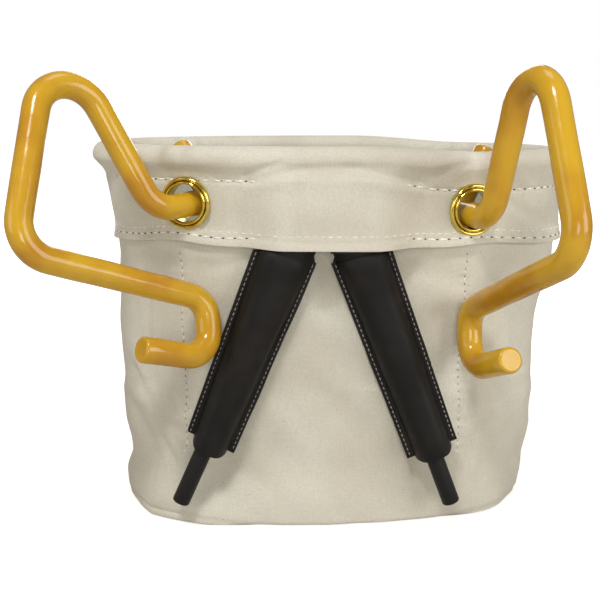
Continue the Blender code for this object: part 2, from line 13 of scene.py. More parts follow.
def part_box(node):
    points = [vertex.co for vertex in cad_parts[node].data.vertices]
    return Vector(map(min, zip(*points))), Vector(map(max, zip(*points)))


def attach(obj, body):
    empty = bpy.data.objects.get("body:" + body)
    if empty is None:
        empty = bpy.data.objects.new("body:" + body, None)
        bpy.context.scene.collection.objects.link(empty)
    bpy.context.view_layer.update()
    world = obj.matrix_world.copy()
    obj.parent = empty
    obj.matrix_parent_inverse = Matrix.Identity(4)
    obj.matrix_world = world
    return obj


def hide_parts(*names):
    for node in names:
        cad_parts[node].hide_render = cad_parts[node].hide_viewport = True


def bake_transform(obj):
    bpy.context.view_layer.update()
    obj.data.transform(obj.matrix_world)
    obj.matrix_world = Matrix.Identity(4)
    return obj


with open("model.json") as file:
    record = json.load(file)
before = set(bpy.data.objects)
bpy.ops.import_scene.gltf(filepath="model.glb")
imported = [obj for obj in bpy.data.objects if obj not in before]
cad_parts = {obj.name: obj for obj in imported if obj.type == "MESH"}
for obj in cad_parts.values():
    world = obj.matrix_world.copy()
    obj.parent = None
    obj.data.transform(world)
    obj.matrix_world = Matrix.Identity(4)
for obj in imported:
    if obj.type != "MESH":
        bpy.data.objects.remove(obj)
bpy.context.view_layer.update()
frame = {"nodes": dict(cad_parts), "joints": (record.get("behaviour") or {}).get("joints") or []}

bl_info = {
    "name": "Canvas Tool Bucket",
    "version": (1, 0, 0),
    "blender": (4, 5, 0),
    "location": "View3D > Sidebar > Tool Bucket",
    "description": "Models an oval canvas tool bucket with coated hooks and leather sheaths",
    "category": "Object",
}

MM = 0.001

# The CAD's shape, repeated: half widths and half depths of the oval by height
OVAL_POWER = 2.15
FINE_TURN = np.linspace(-math.pi, math.pi, 2049)
CLEAR = 0.3 * MM        # between two sewn pieces
CLOTH = 2.4 * MM        # thickness of the CAD's wall
CLOTH_HOLE = 17 * MM    # radius of the hole under a grommet's edge
HOLE_REACH = 24 * MM    # how far along a grommet's axis the cloth is opened
ROLL_RADIUS = 10 * MM
ROLL_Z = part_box("rim_roll")[1].z - ROLL_RADIUS
ROLL_HALF = (186 * MM, 84 * MM)
WALL_HEIGHTS = (0, 110 * MM, 290.2 * MM)
WALL_HALF_WIDTHS = (173.5 * MM, 176.5 * MM, 187.2 * MM)
WALL_HALF_DEPTHS = (82 * MM, 82.5 * MM, 85.2 * MM)
COLLAR_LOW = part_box("collar")[0].z
BULGE_DEPTH = 18.6 * MM    # how far the sheath tops push the collar out
BULGE_FLAT = 34 * MM       # from the middle to where that fades
BULGE_REACH = 74 * MM
BULGE_HEIGHT = 61 * MM
SIDES = {"left": -1, "right": 1}
GROMMET_PLACE = 111 * MM   # across, from the middle
PULL_PLACE = 118 * MM      # across, to where the hooks pull the cloth up

# Coated hooks, in a hook's own frame: out is -Y and up is +Z
HOOK_CORNERS = (
    (24, 25, 50), (0, 25, 0), (0, -32, 0), (0, -75.5, 149), (0, -150.5, -9.5),
    (0, -7, -74.5), (0, -16.5, -120), (0, -75.5, -97),
)
HOOK_BENDS = (15, 24, 27, 25, 20, 20)
HOOK_TURNS = {"left": (45.4, -3.7, -17.7), "right": (17.5, 1.0, -2.3)}

# Sheaths and bars
SHEATH_TILTS = {"left": 22.1, "right": 21.3}
SHEATH_SPREADS = {"left": 32.1 * MM, "right": 22.8 * MM}
SHEATH_RAISE = 77.5 * MM        # from the ground to the CAD's seam ends
SHEATH_BACK = 84.74 * MM        # from the bucket's middle to the back of the sheaths
SHEATH_CREST = COLLAR_LOW + 2.2 * MM    # height of the sheaths' level tops
ARCH_RISE = 14.6 * MM           # height of the raised middle
ARCH_ROUND = 7 * MM             # its rounded lower corners
FLANGE_WIDTHS = (3.4 * MM, 5.8 * MM)    # beside the raised middle, at the top and the bottom
# How much wider than the CAD's the outer and the inner edge stand, at the top and the bottom
SHEATH_FLARES = {
    "left": ((5.0 * MM, 0), (3.0 * MM, 0)),
    "right": ((3.0 * MM, -1.4 * MM), (2.7 * MM, 2.2 * MM)),
}
# How far the outer seam, the inner seam and the raised middle run below the CAD's seams
SHEATH_ENDS = {"left": (2.5 * MM, 6 * MM, 10.5 * MM), "right": (8.5 * MM, 10 * MM, 14 * MM)}
CUT_DROP = 10.5 * MM    # slope of the upper edge towards the other sheath


def linear(hex_colour):
    """An sRGB hex colour as linear red, green and blue."""
    parts = [int(hex_colour[place:place + 2], 16) / 255 for place in (1, 3, 5)]
    return tuple(part / 12.92 if part <= 0.04045 else ((part + 0.055) / 1.055) ** 2.4
                 for part in parts)


def length(name, about, default):
    """A length shown in the panel."""
    return bpy.props.FloatProperty(name=name, description=about, default=default,
                                   min=0, precision=5, unit="LENGTH")


def colour(name, about, default):
    """A colour shown in the panel."""
    return bpy.props.FloatVectorProperty(name=name, description=about, default=linear(default),
                                         size=3, min=0, max=1, subtype="COLOR")


class BucketCanvas(bpy.types.PropertyGroup):
    """Cloth, rope and thread of the bucket."""

    thickness: length("Canvas thickness", "Two plies of duck canvas", 2.4 * MM)
    base_round: length("Base rounding", "Soft radius where the wall meets the floor", 4 * MM)
    stitch_pitch: length("Stitch pitch", "From one stitch to the next", 9 * MM)
    stitch_length: length("Stitch length", "Thread seen between two holes", 6.6 * MM)
    stitch_width: length("Thread width", "Width of the bold thread", 1.5 * MM)
    rope_radius: length("Rope radius", "Rope inside the rim roll", 7.4 * MM)
    board_thickness: length("Board thickness", "Stiff board on the floor", 6 * MM)
    cloth_colour: colour("Canvas colour", "Unbleached cotton duck", "#d1cec1")
    shade_colour: colour("Canvas shade", "Warmer and darker patches", "#c6c1b2")
    fleck_colour: colour("Fleck colour", "Bits of cotton husk", "#7d6544")
    thread_colour: colour("Thread colour", "Cotton sewing thread", "#f4f1e8")
    # Painted shadow: this dark colour marks the needle holes and stands in for the shade in them
    hole_shadow_colour: colour("Needle hole shadow colour", "Painted shadow in the needle holes", "#3a332b")
    rope_colour: colour("Rope colour", "Cotton rope", "#cbb991")
    board_colour: colour("Board colour", "Pressed fibre board", "#6f5238")


class BucketBrass(bpy.types.PropertyGroup):
    """The two grommets."""

    hole: length("Hole radius", "Inside of the barrel", 14.5 * MM)
    rim: length("Rim radius", "Outside of the rolled edge", 20.5 * MM)
    crown: length("Crown height", "Height of the rolled edge off the cloth", 3.6 * MM)
    metal: length("Metal thickness", "Sheet of the barrel and the washer", 0.9 * MM)
    brass_colour: colour("Brass colour", "Polished yellow brass", "#e0cc6a")


class BucketHooks(bpy.types.PropertyGroup):
    """The two coated hooks."""

    coat_radius: length("Coated radius", "Half the diameter over the coat", 9.75 * MM)
    coat_cover: length("Coat thickness", "Coat over the bare rod", 3.1 * MM)
    end_round: length("End rounding", "Rounding of the coated ends", 2.2 * MM)
    bare_spot: length("Bare spot radius", "Uncoated spot in the inner end", 3 * MM)
    coat_colour: colour("Coat colour", "Dipped vinyl", "#c89e27")
    coat_shade: colour("Coat shade", "Where the coat is thinner", "#b27f1d")
    rod_colour: colour("Rod colour", "Bare aluminium", "#a9abae")


class BucketLeather(bpy.types.PropertyGroup):
    """The two sheaths and their bars."""

    thickness: length("Leather thickness", "Front and back of a sheath", 2.4 * MM)
    half_width: length("Half width", "Half the width over both flanges", 20.5 * MM)
    stitch_inset: length("Stitch inset", "From the edge to the thread", 2.2 * MM)
    stitch_pitch: length("Leather stitch pitch", "From one stitch to the next", 4.2 * MM)
    bar_radius: length("Bar radius", "Half the diameter of the bars", 7 * MM)
    leather_colour: colour("Leather colour", "Dyed black cowhide", "#0c0b0b")
    edge_colour: colour("Leather wear", "Rubbed places", "#1b1714")
    thread_colour: colour("Thread colour", "Waxed thread", "#a5a29a")
    bar_colour: colour("Bar colour", "Moulded black plastic", "#101011")


class BucketStage(bpy.types.PropertyGroup):
    """Floor, lights and camera."""

    floor_size: length("Floor size", "Side of the floor", 12.0)
    camera_height: length("Camera height", "Above the floor", 0.349)
    camera_distance: length("Camera distance", "In front of the bucket's middle", 0.795)
    camera_side: length("Camera side step", "To the left of the middle", 0.023)
    floor_colour: colour("Floor colour", "Matte white paper", "#c9c5bd")


def settings(name):
    """The property group of one kind of piece."""
    return getattr(bpy.context.scene, "bucket_" + name)


# Shared tools for shaping


def deselect_all():
    """Go back to object mode with nothing selected."""
    if bpy.context.object is not None and bpy.context.object.mode != "OBJECT":
        end_edit()
    bpy.ops.object.select_all(action="DESELECT")


def make_active(piece):
    """Select one piece alone."""
    deselect_all()
    piece.select_set(True)
    bpy.context.view_layer.objects.active = piece


def start_edit():
    """Edit the active piece, with everything selected."""
    bpy.ops.object.mode_set(mode="EDIT")
    bpy.ops.mesh.select_all(action="SELECT")


def end_edit():
    """Leave edit mode."""
    bpy.ops.object.mode_set(mode="OBJECT")


def primitive(add, name, **values):
    """Add a primitive and name it."""
    deselect_all()
    add(**values)
    piece = bpy.context.object
    piece.name = piece.data.name = name
    return piece


def read(items, key, kind=np.int64, width=1):
    """One value or more of every vertex, face or corner, as an array."""
    values = np.empty(len(items) * width, dtype=kind)
    items.foreach_get(key, values)
    return values


def places(piece):
    """Vertex places as rows of x, y and z."""
    return read(piece.data.vertices, "co", float, 3).reshape(-1, 3)


def place(piece, *columns):
    """Move the vertices to rows of x, y and z, or to three columns."""
    points = np.ascontiguousarray(np.column_stack(columns), dtype=float)
    piece.data.vertices.foreach_set("co", points.ravel())
    piece.data.update()


def apply_modifier(piece, name, kind, **values):
    """Add a modifier with its settings and apply it."""
    make_active(piece)
    modifier = piece.modifiers.new(name, kind)
    for key, value in values.items():
        setattr(modifier, key, value)
    bpy.ops.object.modifier_apply(modifier=modifier.name)


def soften_rims(piece, width):
    """Round the raw edges of a sheet."""
    apply_modifier(piece, "soft rims", "BEVEL", width=width, segments=2, limit_method="ANGLE",
                   angle_limit=math.radians(58))


def thicken(piece, thickness):
    """Give a sheet its thickness on the inner side."""
    apply_modifier(piece, "thickness", "SOLIDIFY", thickness=thickness, offset=-1,
                   use_even_offset=False)


def recalculate_outside(piece):
    """Turn every face of a piece outwards."""
    make_active(piece)
    start_edit()
    bpy.ops.mesh.normals_make_consistent(inside=False)
    end_edit()


def face_front(piece):
    """Turn an open sheet's faces towards the front."""
    if sum(face.normal.y * face.area for face in piece.data.polygons) > 0:
        make_active(piece)
        start_edit()
        bpy.ops.mesh.flip_normals()
        end_edit()


def dress(piece, material):
    """Give a piece its one material."""
    piece.data.materials.clear()
    piece.data.materials.append(material)


def finish_piece(piece, body, material, slot, *nodes, angle=50):
    """Shade a piece, give it its material and tie it to the frame."""
    make_active(piece)
    bpy.ops.object.shade_smooth_by_angle(angle=math.radians(angle))
    dress(piece, material)
    if body:
        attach(piece, body)
    if nodes:
        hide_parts(*nodes)


def tube(name, stations, levels, cuts):
    """An upright tube, extruded ring by ring, with each vertex's angle and share of the height."""
    piece = primitive(bpy.ops.mesh.primitive_circle_add, name, vertices=stations, radius=1)
    start_edit()
    for level in range(levels):
        extrude_along((0, 0, 1 / levels))
    end_edit()
    apply_modifier(piece, "finer", "SUBSURF", subdivision_type="SIMPLE", levels=cuts,
                   render_levels=cuts)
    x, y, share = places(piece).T
    return piece, np.arctan2(y, x), share


def patch(name, columns, rows):
    """A flat grid to be shaped, with each vertex's places from minus one to one."""
    piece = primitive(bpy.ops.mesh.primitive_grid_add, name, x_subdivisions=columns,
                      y_subdivisions=rows, size=2)
    across, up = places(piece).T[:2]
    return piece, across, up


def extrude_along(move):
    """Carry the selected ring straight on."""
    bpy.ops.mesh.extrude_region_move(TRANSFORM_OT_translate={"value": move})


def set_cloth_map(piece, across, up, wrap=0):
    """A UV map in metres that follows the threads; wrap is the length round a tube."""
    mesh = piece.data
    while mesh.uv_layers:
        mesh.uv_layers.remove(mesh.uv_layers[0])
    layer = mesh.uv_layers.new(name="cloth")
    corners = read(mesh.loops, "vertex_index")
    u, v = across[corners], up[corners]
    if wrap:
        highest = np.maximum.reduceat(u, read(mesh.polygons, "loop_start"))
        highest = np.repeat(highest, read(mesh.polygons, "loop_total"))
        u = np.where(highest - u > wrap / 2, u + wrap, u)
    layer.data.foreach_set("uv", np.column_stack((u, v)).ravel())


def smooth(value):
    """From nought to one with soft ends."""
    value = np.clip(value, 0, 1)
    return value * value * (3 - 2 * value)


def hill(value, middle, reach):
    """One at the middle, falling softly to nought on both sides."""
    return np.exp(-((value - middle) / reach) ** 2)


def in_front(y):
    """One at the front, nought behind the middle."""
    return smooth(-y / (20 * MM))


def hold_under(value, limit, softness):
    """Keep a value under a limit with a soft knee."""
    return limit - softness * np.logaddexp(0, (limit - value) / softness)


def ripple(x, y, z, size, seed):
    """Seeded soft unevenness of about one, with swells about the given size."""
    draw = np.random.default_rng(seed)
    total = np.zeros_like(x)
    waves = 9
    for wave in range(waves):
        direction = draw.normal(size=3)
        direction *= math.tau / (size * draw.uniform(0.75, 1.7) * np.linalg.norm(direction))
        total += np.sin(x * direction[0] + y * direction[1] + z * direction[2]
                        + draw.uniform(0, math.tau))
    return total / math.sqrt(waves / 2)


def folds(table, x, z):
    """Soft folds along lines on the cloth, in mm; a negative height is a hollow."""
    x, z = x / MM, z / MM
    total = np.zeros_like(x)
    for x0, z0, x1, z1, width, height in table:
        run, rise = x1 - x0, z1 - z0
        share = np.clip(((x - x0) * run + (z - z0) * rise) / (run * run + rise * rise), 0, 1)
        total += height * hill(np.hypot(x - x0 - share * run, z - z0 - share * rise), 0, width)
    return total


def oval(half_width, half_depth, angle):
    """Points of the bucket's oval."""
    power = 2 / OVAL_POWER
    cosine, sine = np.cos(angle), np.sin(angle)
    x = np.sign(cosine) * np.abs(cosine) ** power * half_width
    y = np.sign(sine) * np.abs(sine) ** power * half_depth
    return x, y


def mouth_x(angle):
    """Place across the mouth at an angle."""
    return oval(*ROLL_HALF, angle)[0]


def oval_run(angle):
    """Length round the mouth from the back, and the whole length."""
    x, y = oval(*ROLL_HALF, FINE_TURN)
    run = np.concatenate(([0], np.cumsum(np.hypot(np.diff(x), np.diff(y)))))
    return np.interp(angle, FINE_TURN, run), run[-1]


def angles_every(pitch, late=0.0):
    """Angles a pitch apart round the mouth; late is a share of the pitch."""
    lengths, whole = oval_run(FINE_TURN)
    count = int(whole / pitch)
    run = (np.arange(count) + late) * whole / count
    return np.interp(run % whole, lengths, FINE_TURN)


def wall_halves(z):
    """Half width and half depth of the CAD wall's outer face."""
    return (np.interp(z, WALL_HEIGHTS, WALL_HALF_WIDTHS),
            np.interp(z, WALL_HEIGHTS, WALL_HALF_DEPTHS))


def node_line(name, rank, towards):
    """Middle, axis, and lowest and highest place along it of a round CAD piece.

    The axis is its longest direction at rank 0 and its shortest at rank 2. It points to the
    front with towards 1, and down with towards 2.
    """
    points = places(frame["nodes"][name])
    middle = points.mean(axis=0)
    axis = np.linalg.svd(points - middle, full_matrices=False)[2][rank]
    axis = -np.sign(axis[towards]) * axis
    along = (points - middle) @ axis
    return middle, axis, along.min(), along.max()


def grommet_line(side):
    """The line through a grommet, out of the bucket."""
    return node_line("grommet_eyelet_" + side, 2, 1)


def near_hole(points, side):
    """Way from a grommet's axis to each point, its length, and whether the point is in the hole."""
    middle, axis = grommet_line(side)[:2]
    along = (points - middle) @ axis
    flat = points - middle - np.outer(along, axis)
    distance = np.linalg.norm(flat, axis=1)
    return flat, distance, (np.abs(along) < HOLE_REACH) & (distance < CLOTH_HOLE)


def open_holes(piece):
    """Take the cloth out of the grommets' holes and round each hole's edge."""
    mesh = piece.data
    tools = bpy.context.tool_settings
    for side in SIDES:
        inside = near_hole(places(piece), side)[2]
        corners = read(mesh.loops, "vertex_index")
        make_active(piece)
        tools.mesh_select_mode = (False, False, True)
        mesh.vertices.foreach_set("select", np.zeros(len(mesh.vertices), dtype=bool))
        mesh.edges.foreach_set("select", np.zeros(len(mesh.edges), dtype=bool))
        mesh.polygons.foreach_set("select", inside[corners].reshape(-1, 4).all(axis=1))
        bpy.ops.object.mode_set(mode="EDIT")
        bpy.ops.mesh.delete(type="FACE")
        end_edit()
        tools.mesh_select_mode = (True, False, False)
        points = places(piece)
        flat, distance, inside = near_hole(points, side)
        points[inside] += flat[inside] * (CLOTH_HOLE / distance[inside] - 1)[:, None]
        place(piece, points)


# Canvas body

# Folds of the front: from x, z to x, z, width and height, all in mm
FRONT_FOLDS = (
    (-160, 205, -150, 95, 7, 2.2), (-139, 200, -134, 120, 5, 1.4),
    (-150, 200, -143, 110, 4, -1.6), (-168, 90, -150, 62, 7, -2.4), (-128, 78, -105, 52, 5, -2.2),
    (-140, 84, -116, 56, 4, 1.8), (-118, 86, -95, 62, 4, 1.4), (-108, 92, -92, 70, 3.5, -1.2),
    (-125, 150, -118, 96, 5, -1.2), (-96, 60, -60, 40, 7, -1.3), (134, 175, 141, 135, 6, 1.3),
    (150, 190, 156, 130, 8, -1.5), (142, 175, 150, 130, 5, 1.4), (113, 105, 109, 40, 5, -1.8),
    (122, 105, 116, 40, 6, 1.0), (150, 62, 158, 40, 8, -1.2), (136, 98, 116, 52, 5, -0.8),
    (125, 218, 160, 205, 6, -1.5), (-128, 219, -165, 208, 6, -1.5), (60, 215, 100, 200, 8, -1.0),
    (-40, 60, 30, 48, 14, -1.0), (-20, 130, 15, 90, 14, -0.9), (-52, 170, -74, 110, 9, -1.5),
    (-66, 130, -86, 84, 7, -1.3), (88, 176, 104, 118, 7, -1.4), (-30, 196, -48, 150, 7, -1.6),
    (-12, 226, -5, 182, 9, -3.0), (-28, 204, -8, 180, 5, -1.3), (16, 205, 2, 176, 6, -1.4),
    (-64, 222, -92, 214, 6, -1.6), (-158, 118, -138, 78, 5, -1.8), (-160, 150, -152, 120, 5, 1.2),
    (-113, 130, -112, 92, 3, -2.4), (-127, 102, -109, 67, 3, -2.2),
    (-137, 64, -123, 45, 3.4, -2.4), (-121, 100, -103, 72, 3, 1.2), (118, 128, 110, 84, 3, -1.8),
    (121, 84, 112, 44, 3.4, -1.8),
)
BACK_FOLDS = (
    (-120, 230, -90, 120, 8, 2.0), (-60, 210, -75, 120, 7, -1.6), (20, 240, 35, 140, 9, 1.8),
    (90, 220, 70, 110, 7, -1.8), (130, 200, 120, 90, 8, 2.0), (-30, 90, 20, 50, 10, -1.5),
    (-150, 120, -135, 50, 8, -2.2), (150, 110, 140, 45, 8, -2.0),
)
# Swells of the lower corners: x, z, reach across, reach up and height, all in mm
SWELLS = ((-124, 4, 36, 30, 12.5), (-88, 0, 62, 26, 8), (138, 0, 22, 26, 4), (92, 0, 26, 22, -3.4))
# How far the cloth stands out at each side: height and shift in mm
LEFT_SIDE = ((0, -3.6), (8, -1.6), (22, -1.2), (36, -5.2), (50, -3.6), (64, -0.7), (79, 1),
             (93, 2.8), (106, 1.2), (134, 0), (160, -2.9), (205, -7.5), (214, -8.4),
             (235, -8.4), (262, -5.5), (285, -2.5), (295, 0))
RIGHT_SIDE = ((0, -5.5), (8, -3.6), (22, -3), (36, -2.6), (50, 0), (64, 2.5), (79, 2.4),
              (93, 2.1), (106, -0.3), (134, -1.5), (161, -0.9), (174, 0.3), (205, 4.8),
              (225, 6), (262, 5), (285, 2), (295, 0))
SEAM_PLACES = {"left": -116 * MM, "right": 106 * MM}
SEAM_STITCH_PITCH = 6 * MM
SEAM_LOW, SEAM_HIGH = 58 * MM, 224 * MM    # heights where the upright rows start and end
SMALL_STEP = 1e-3    # along a surface, to find its directions
# Long and wide measures of the smaller stitches and of the dark spots of painted shadow in the
# needle holes
FINE_STITCH, SEAM_STITCH, SHEATH_STITCH = ((4.2 * MM, 0.9 * MM), (3.6 * MM, 0.8 * MM),
                                           (2.9 * MM, 0.75 * MM))
NEEDLE_HOLE, SEAM_HOLE = (2.6 * MM, 1.1 * MM), (1.7 * MM, 0.8 * MM)


def side_shift(x, z, table, side):
    """How far the cloth stands in or out at one side of the bucket, by height."""
    heights, shifts = np.array(table).T * MM
    return np.interp(z, heights, shifts) * smooth((side * x - 125 * MM) / (45 * MM))


def base_seam(x):
    """Height in mm of the seam between wall and floor; it shows only at the corners."""
    left = smooth((-x - 35 * MM) / (75 * MM))
    right = smooth((x - 70 * MM) / (70 * MM))
    return 8.5 * left + 6 * right - 1


def body_offset(x, y, z):
    """How far the soft wall stands off the CAD's wall."""
    height = z / MM
    front = smooth(-y / (25 * MM))
    offset = 1.1 * ripple(x, y, z, 95 * MM, 4) - 0.6 + 0.35 * ripple(x, y, z, 32 * MM, 9)
    offset += front * folds(FRONT_FOLDS, x, z) + (1 - front) * folds(BACK_FOLDS, x, z)
    # The lower corners swell, the front's foot comes forward and all swells above the floor
    for middle, level, across, up, out in SWELLS:
        offset += front * out * hill(x, middle * MM, across * MM) * hill(height, level, up)
    offset += front * 2.8 * smooth((150 * MM - np.abs(x)) / (50 * MM)) * hill(height, 0, 20)
    offset += 2 * hill(height, 24, 16)
    # The upright rows of thread draw the cloth in and pucker it
    for seam_x in SEAM_PLACES.values():
        sewn = front * smooth((height - 50) / 10)
        pucker = 0.4 * np.cos(math.tau * height / 8) * hill(x, seam_x, 6.6 * MM)
        offset += sewn * (pucker - 0.9 * hill(x, seam_x, 2.2 * MM))
    # The cloth stays clear of the hooks and sheaths above, then is drawn in by the floor's seam
    limit = np.where(height > 118, 0.3, 3) * front + 4 * (1 - front)
    limit += 14 * smooth((70 - height) / 30)
    offset = hold_under(offset, limit, 0.4) - 1.4 * hill(height, base_seam(x), 1.5)
    tucked = smooth((height - 214) / 14)    # close to the wall behind the collar
    offset = (offset * (1 - tucked) - 0.3 * tucked) * MM
    return offset + side_shift(x, z, LEFT_SIDE, -1) + side_shift(x, z, RIGHT_SIDE, 1)


def body_surface(angle, z):
    """Outer face of the canvas body."""
    half_width, half_depth = wall_halves(z)
    x, y = oval(half_width, half_depth, angle)
    corner = settings("canvas").base_round
    under = np.clip(1 - z / corner, 0, 1)
    offset = body_offset(x, y, z) + settings("canvas").thickness
    offset -= corner * (1 - np.sqrt(1 - under * under))
    x, y = oval(half_width + offset, half_depth + offset, angle)
    return np.column_stack((x, y, z))


def make_body(material):
    """The canvas tube from the base to the rim, soft and folded."""
    piece, angle, share = tube("canvas_body", stations=90, levels=30, cuts=2)
    z = (WALL_HEIGHTS[-1] - 1 * MM) * share ** 1.06    # rings lie closer together at the base
    run, whole = oval_run(angle)
    place(piece, body_surface(angle, z))
    set_cloth_map(piece, run, z, whole)
    open_holes(piece)
    recalculate_outside(piece)
    thicken(piece, settings("canvas").thickness)
    finish_piece(piece, "bucket", material, "canvas", "wall")


# Rolled rim and collar

# Folds of the collar's front: from x, z to x, z, width and height, all in mm
COLLAR_FOLDS = (
    (-62, 281, -18, 290, 3.5, -1.6), (-60, 276, -25, 284, 5, 0.9), (68, 279, 14, 291, 4, -2.2),
    (66, 273, 20, 284, 6, 1.0), (88, 285, 60, 287, 5, -0.9), (-45, 240, 40, 238, 9, -0.7),
    (140, 262, 172, 240, 5, -1.4), (-150, 268, -172, 246, 5, -1.2), (150, 280, 168, 262, 4, 0.9),
    (-30, 262, 30, 258, 12, 0.8), (-66, 285, -36, 296, 3, -1.5), (84, 288, 112, 296, 4, -1.3),
    (-92, 287, -128, 289, 4, -0.9), (-56, 292, 10, 298, 6, 0.8),
)
ROLL_START = math.radians(256)    # turn where the roll starts, inside and below
ROLL_END = math.radians(-24)
ROLL_SHARE = 0.44                 # share of the strip that is rolled up
FALL_SHARE = 0.56                 # share where the upper stitch row lies
STRIP_WIDTH = 118 * MM
COLLAR_THICK = 2.2 * MM
MIDDLE_ROW = 10.5 * MM            # height of the fine stitch row above the collar's edge
MIDDLE_PITCH = 6 * MM             # of that row


def upper_row(x):
    """Height of the stitch row under the roll, before the rim's droop."""
    return 281.8 * MM - 3.6 * MM * smooth((x - 45 * MM) / (35 * MM))


def lower_row(x):
    """Height of the lower stitch row above the collar's edge."""
    lift = 1.6 * MM * hill(np.abs(x), 50 * MM, 22 * MM)
    return 5.7 * MM + lift - 1.6 * MM * smooth((x - 95 * MM) / (40 * MM))


def rim_sag(x):
    """How far the rim droops below the CAD's, as a negative height."""
    return -1.2 * MM - 5 * MM * smooth((x - 25 * MM) / (100 * MM))


def collar_edge(angle):
    """Height of the collar's lower edge."""
    x, y = oval(*ROLL_HALF, angle)
    lift = np.where(x < 0, 6 * MM, 3.6 * MM) * hill(np.abs(x), PULL_PLACE, 34 * MM)
    lift += 3.4 * MM * (1 - smooth((np.abs(x) - 55 * MM) / (50 * MM)))
    aside = 1.0 * MM * smooth((np.abs(x) - 60 * MM) / (50 * MM))
    return COLLAR_LOW + 0.4 * MM + in_front(y) * lift + aside


def hermite(share, start, end, start_slope, end_slope):
    """A smooth run between two values with given slopes."""
    s2, s3 = share * share, share * share * share
    return ((2 * s3 - 3 * s2 + 1) * start + (s3 - 2 * s2 + share) * start_slope
            + (3 * s2 - 2 * s3) * end + (s3 - s2) * end_slope)


def stitch_pull(x, y, z, edge, run):
    """How the rows of thread draw the collar in, and its folds."""
    pitch = settings("canvas").stitch_pitch
    total = in_front(y) * folds(COLLAR_FOLDS, x, z)
    upper = 1 - in_front(y) * smooth((62 * MM - np.abs(x)) / (8 * MM))
    rows = ((upper_row(x) + rim_sag(x), upper, 0.9), (edge + lower_row(x), 0.9, 0.7),
            (edge + MIDDLE_ROW, 0.6, 0.35))
    for height, weight, depth in rows:
        wave = np.cos(math.tau * run / pitch + height / MM)
        total -= weight * depth * hill(z, height, 1.7 * MM)
        total += weight * 0.28 * wave * hill(z, height, 5.5 * MM)
    return total * MM


def collar_surface(angle, share):
    """Outer face of the rim roll and collar, from under the roll to the lower edge."""
    radius = ROLL_RADIUS
    turn = ROLL_START + (ROLL_END - ROLL_START) * np.clip(share / ROLL_SHARE, 0, 1)
    fall = np.clip((share - ROLL_SHARE) / (FALL_SHARE - ROLL_SHARE), 0, 1)
    down = np.clip((share - FALL_SHARE) / (1 - FALL_SHARE), 0, 1)
    edge = collar_edge(angle)
    run = oval_run(angle)[0]
    row_z = upper_row(mouth_x(angle))
    face_z = row_z + (edge - row_z) * down
    out = CLEAR + CLOTH
    slope = radius * 1.4    # how gently the cloth leaves the roll

    def along_strip(rolled, fallen, hanging):
        return np.where(share < ROLL_SHARE, rolled, np.where(share < FALL_SHARE, fallen, hanging))

    # The strip is rolled up, falls from the roll to the upper stitch row and hangs from there
    halves = []
    for middle, top, face in zip(ROLL_HALF, wall_halves(row_z), wall_halves(face_z)):
        fallen = hermite(fall, middle + radius * math.cos(ROLL_END), top + out,
                         slope * math.sin(ROLL_END), 0)
        halves.append(along_strip(middle + radius * np.cos(turn), fallen, face + out))
    fall_z = hermite(fall, ROLL_Z + radius * math.sin(ROLL_END), row_z,
                     -slope * math.cos(ROLL_END), -slope)
    z = along_strip(ROLL_Z + radius * np.sin(turn), fall_z, face_z)
    x, y = oval(*halves, angle)
    front = in_front(y)
    outer = smooth((math.radians(70) - turn) / math.radians(94))    # from the roll's top outwards
    # The cloth is uneven but held flat by the brass, and gathered inside the roll, front and back
    sag = rim_sag(x) * smooth((z - edge) / (45 * MM))
    uneven = 0.45 * MM * ripple(x, y, z, 60 * MM, 21) + 0.22 * MM * ripple(x, y, z, 24 * MM, 22)
    by_grommets = front * smooth((z - 240 * MM) / (20 * MM))
    by_grommets = by_grommets * hill(np.abs(x), GROMMET_PLACE, 22 * MM)
    gathers = hill(np.abs(x), PULL_PLACE, 26 * MM) * (1 - outer) * np.sin(run / (3.1 * MM))
    offset = uneven * (1 - 0.7 * by_grommets) + 1.5 * MM * gathers
    offset += outer * stitch_pull(x, y, z + sag, edge, run)
    # The lower edge stands off the wall, most beside the sheaths
    flare = smooth(1 - (z - edge) / (16 * MM)) * (1 - 0.35 * hill(x, 0, 70 * MM))
    standing = hill(x, -92 * MM, 30 * MM) + hill(x, 96 * MM, 34 * MM)
    offset += outer * (2.6 + 1.8 * front * standing) * MM * flare * down
    offset += outer * (side_shift(x, z, LEFT_SIDE, -1) + side_shift(x, z, RIGHT_SIDE, 1) * 1.3)
    x, y = oval(halves[0] + offset, halves[1] + offset, angle)
    # The sheath tops push the front out, but not the roll's top
    pushed = BULGE_DEPTH * smooth((BULGE_REACH - np.abs(x)) / (BULGE_REACH - BULGE_FLAT))
    pushed *= 1 - 0.5 * (z - COLLAR_LOW) / BULGE_HEIGHT
    y = y - front * outer * pushed * smooth((295 * MM - z) / (13 * MM))
    return np.column_stack((x, y, z + sag))


def make_collar(material):
    """The roll and the band that hangs from it, one folded strip of cloth."""
    piece, angle, share = tube("rolled_rim_and_collar", stations=110, levels=26, cuts=2)
    share = 1 - share
    run, whole = oval_run(angle)
    place(piece, collar_surface(angle, share))
    set_cloth_map(piece, run, share * STRIP_WIDTH, whole)
    open_holes(piece)
    recalculate_outside(piece)
    thicken(piece, COLLAR_THICK)
    soften_rims(piece, 0.8 * MM)
    finish_piece(piece, "bucket", material, "canvas", "rim_roll", "collar")


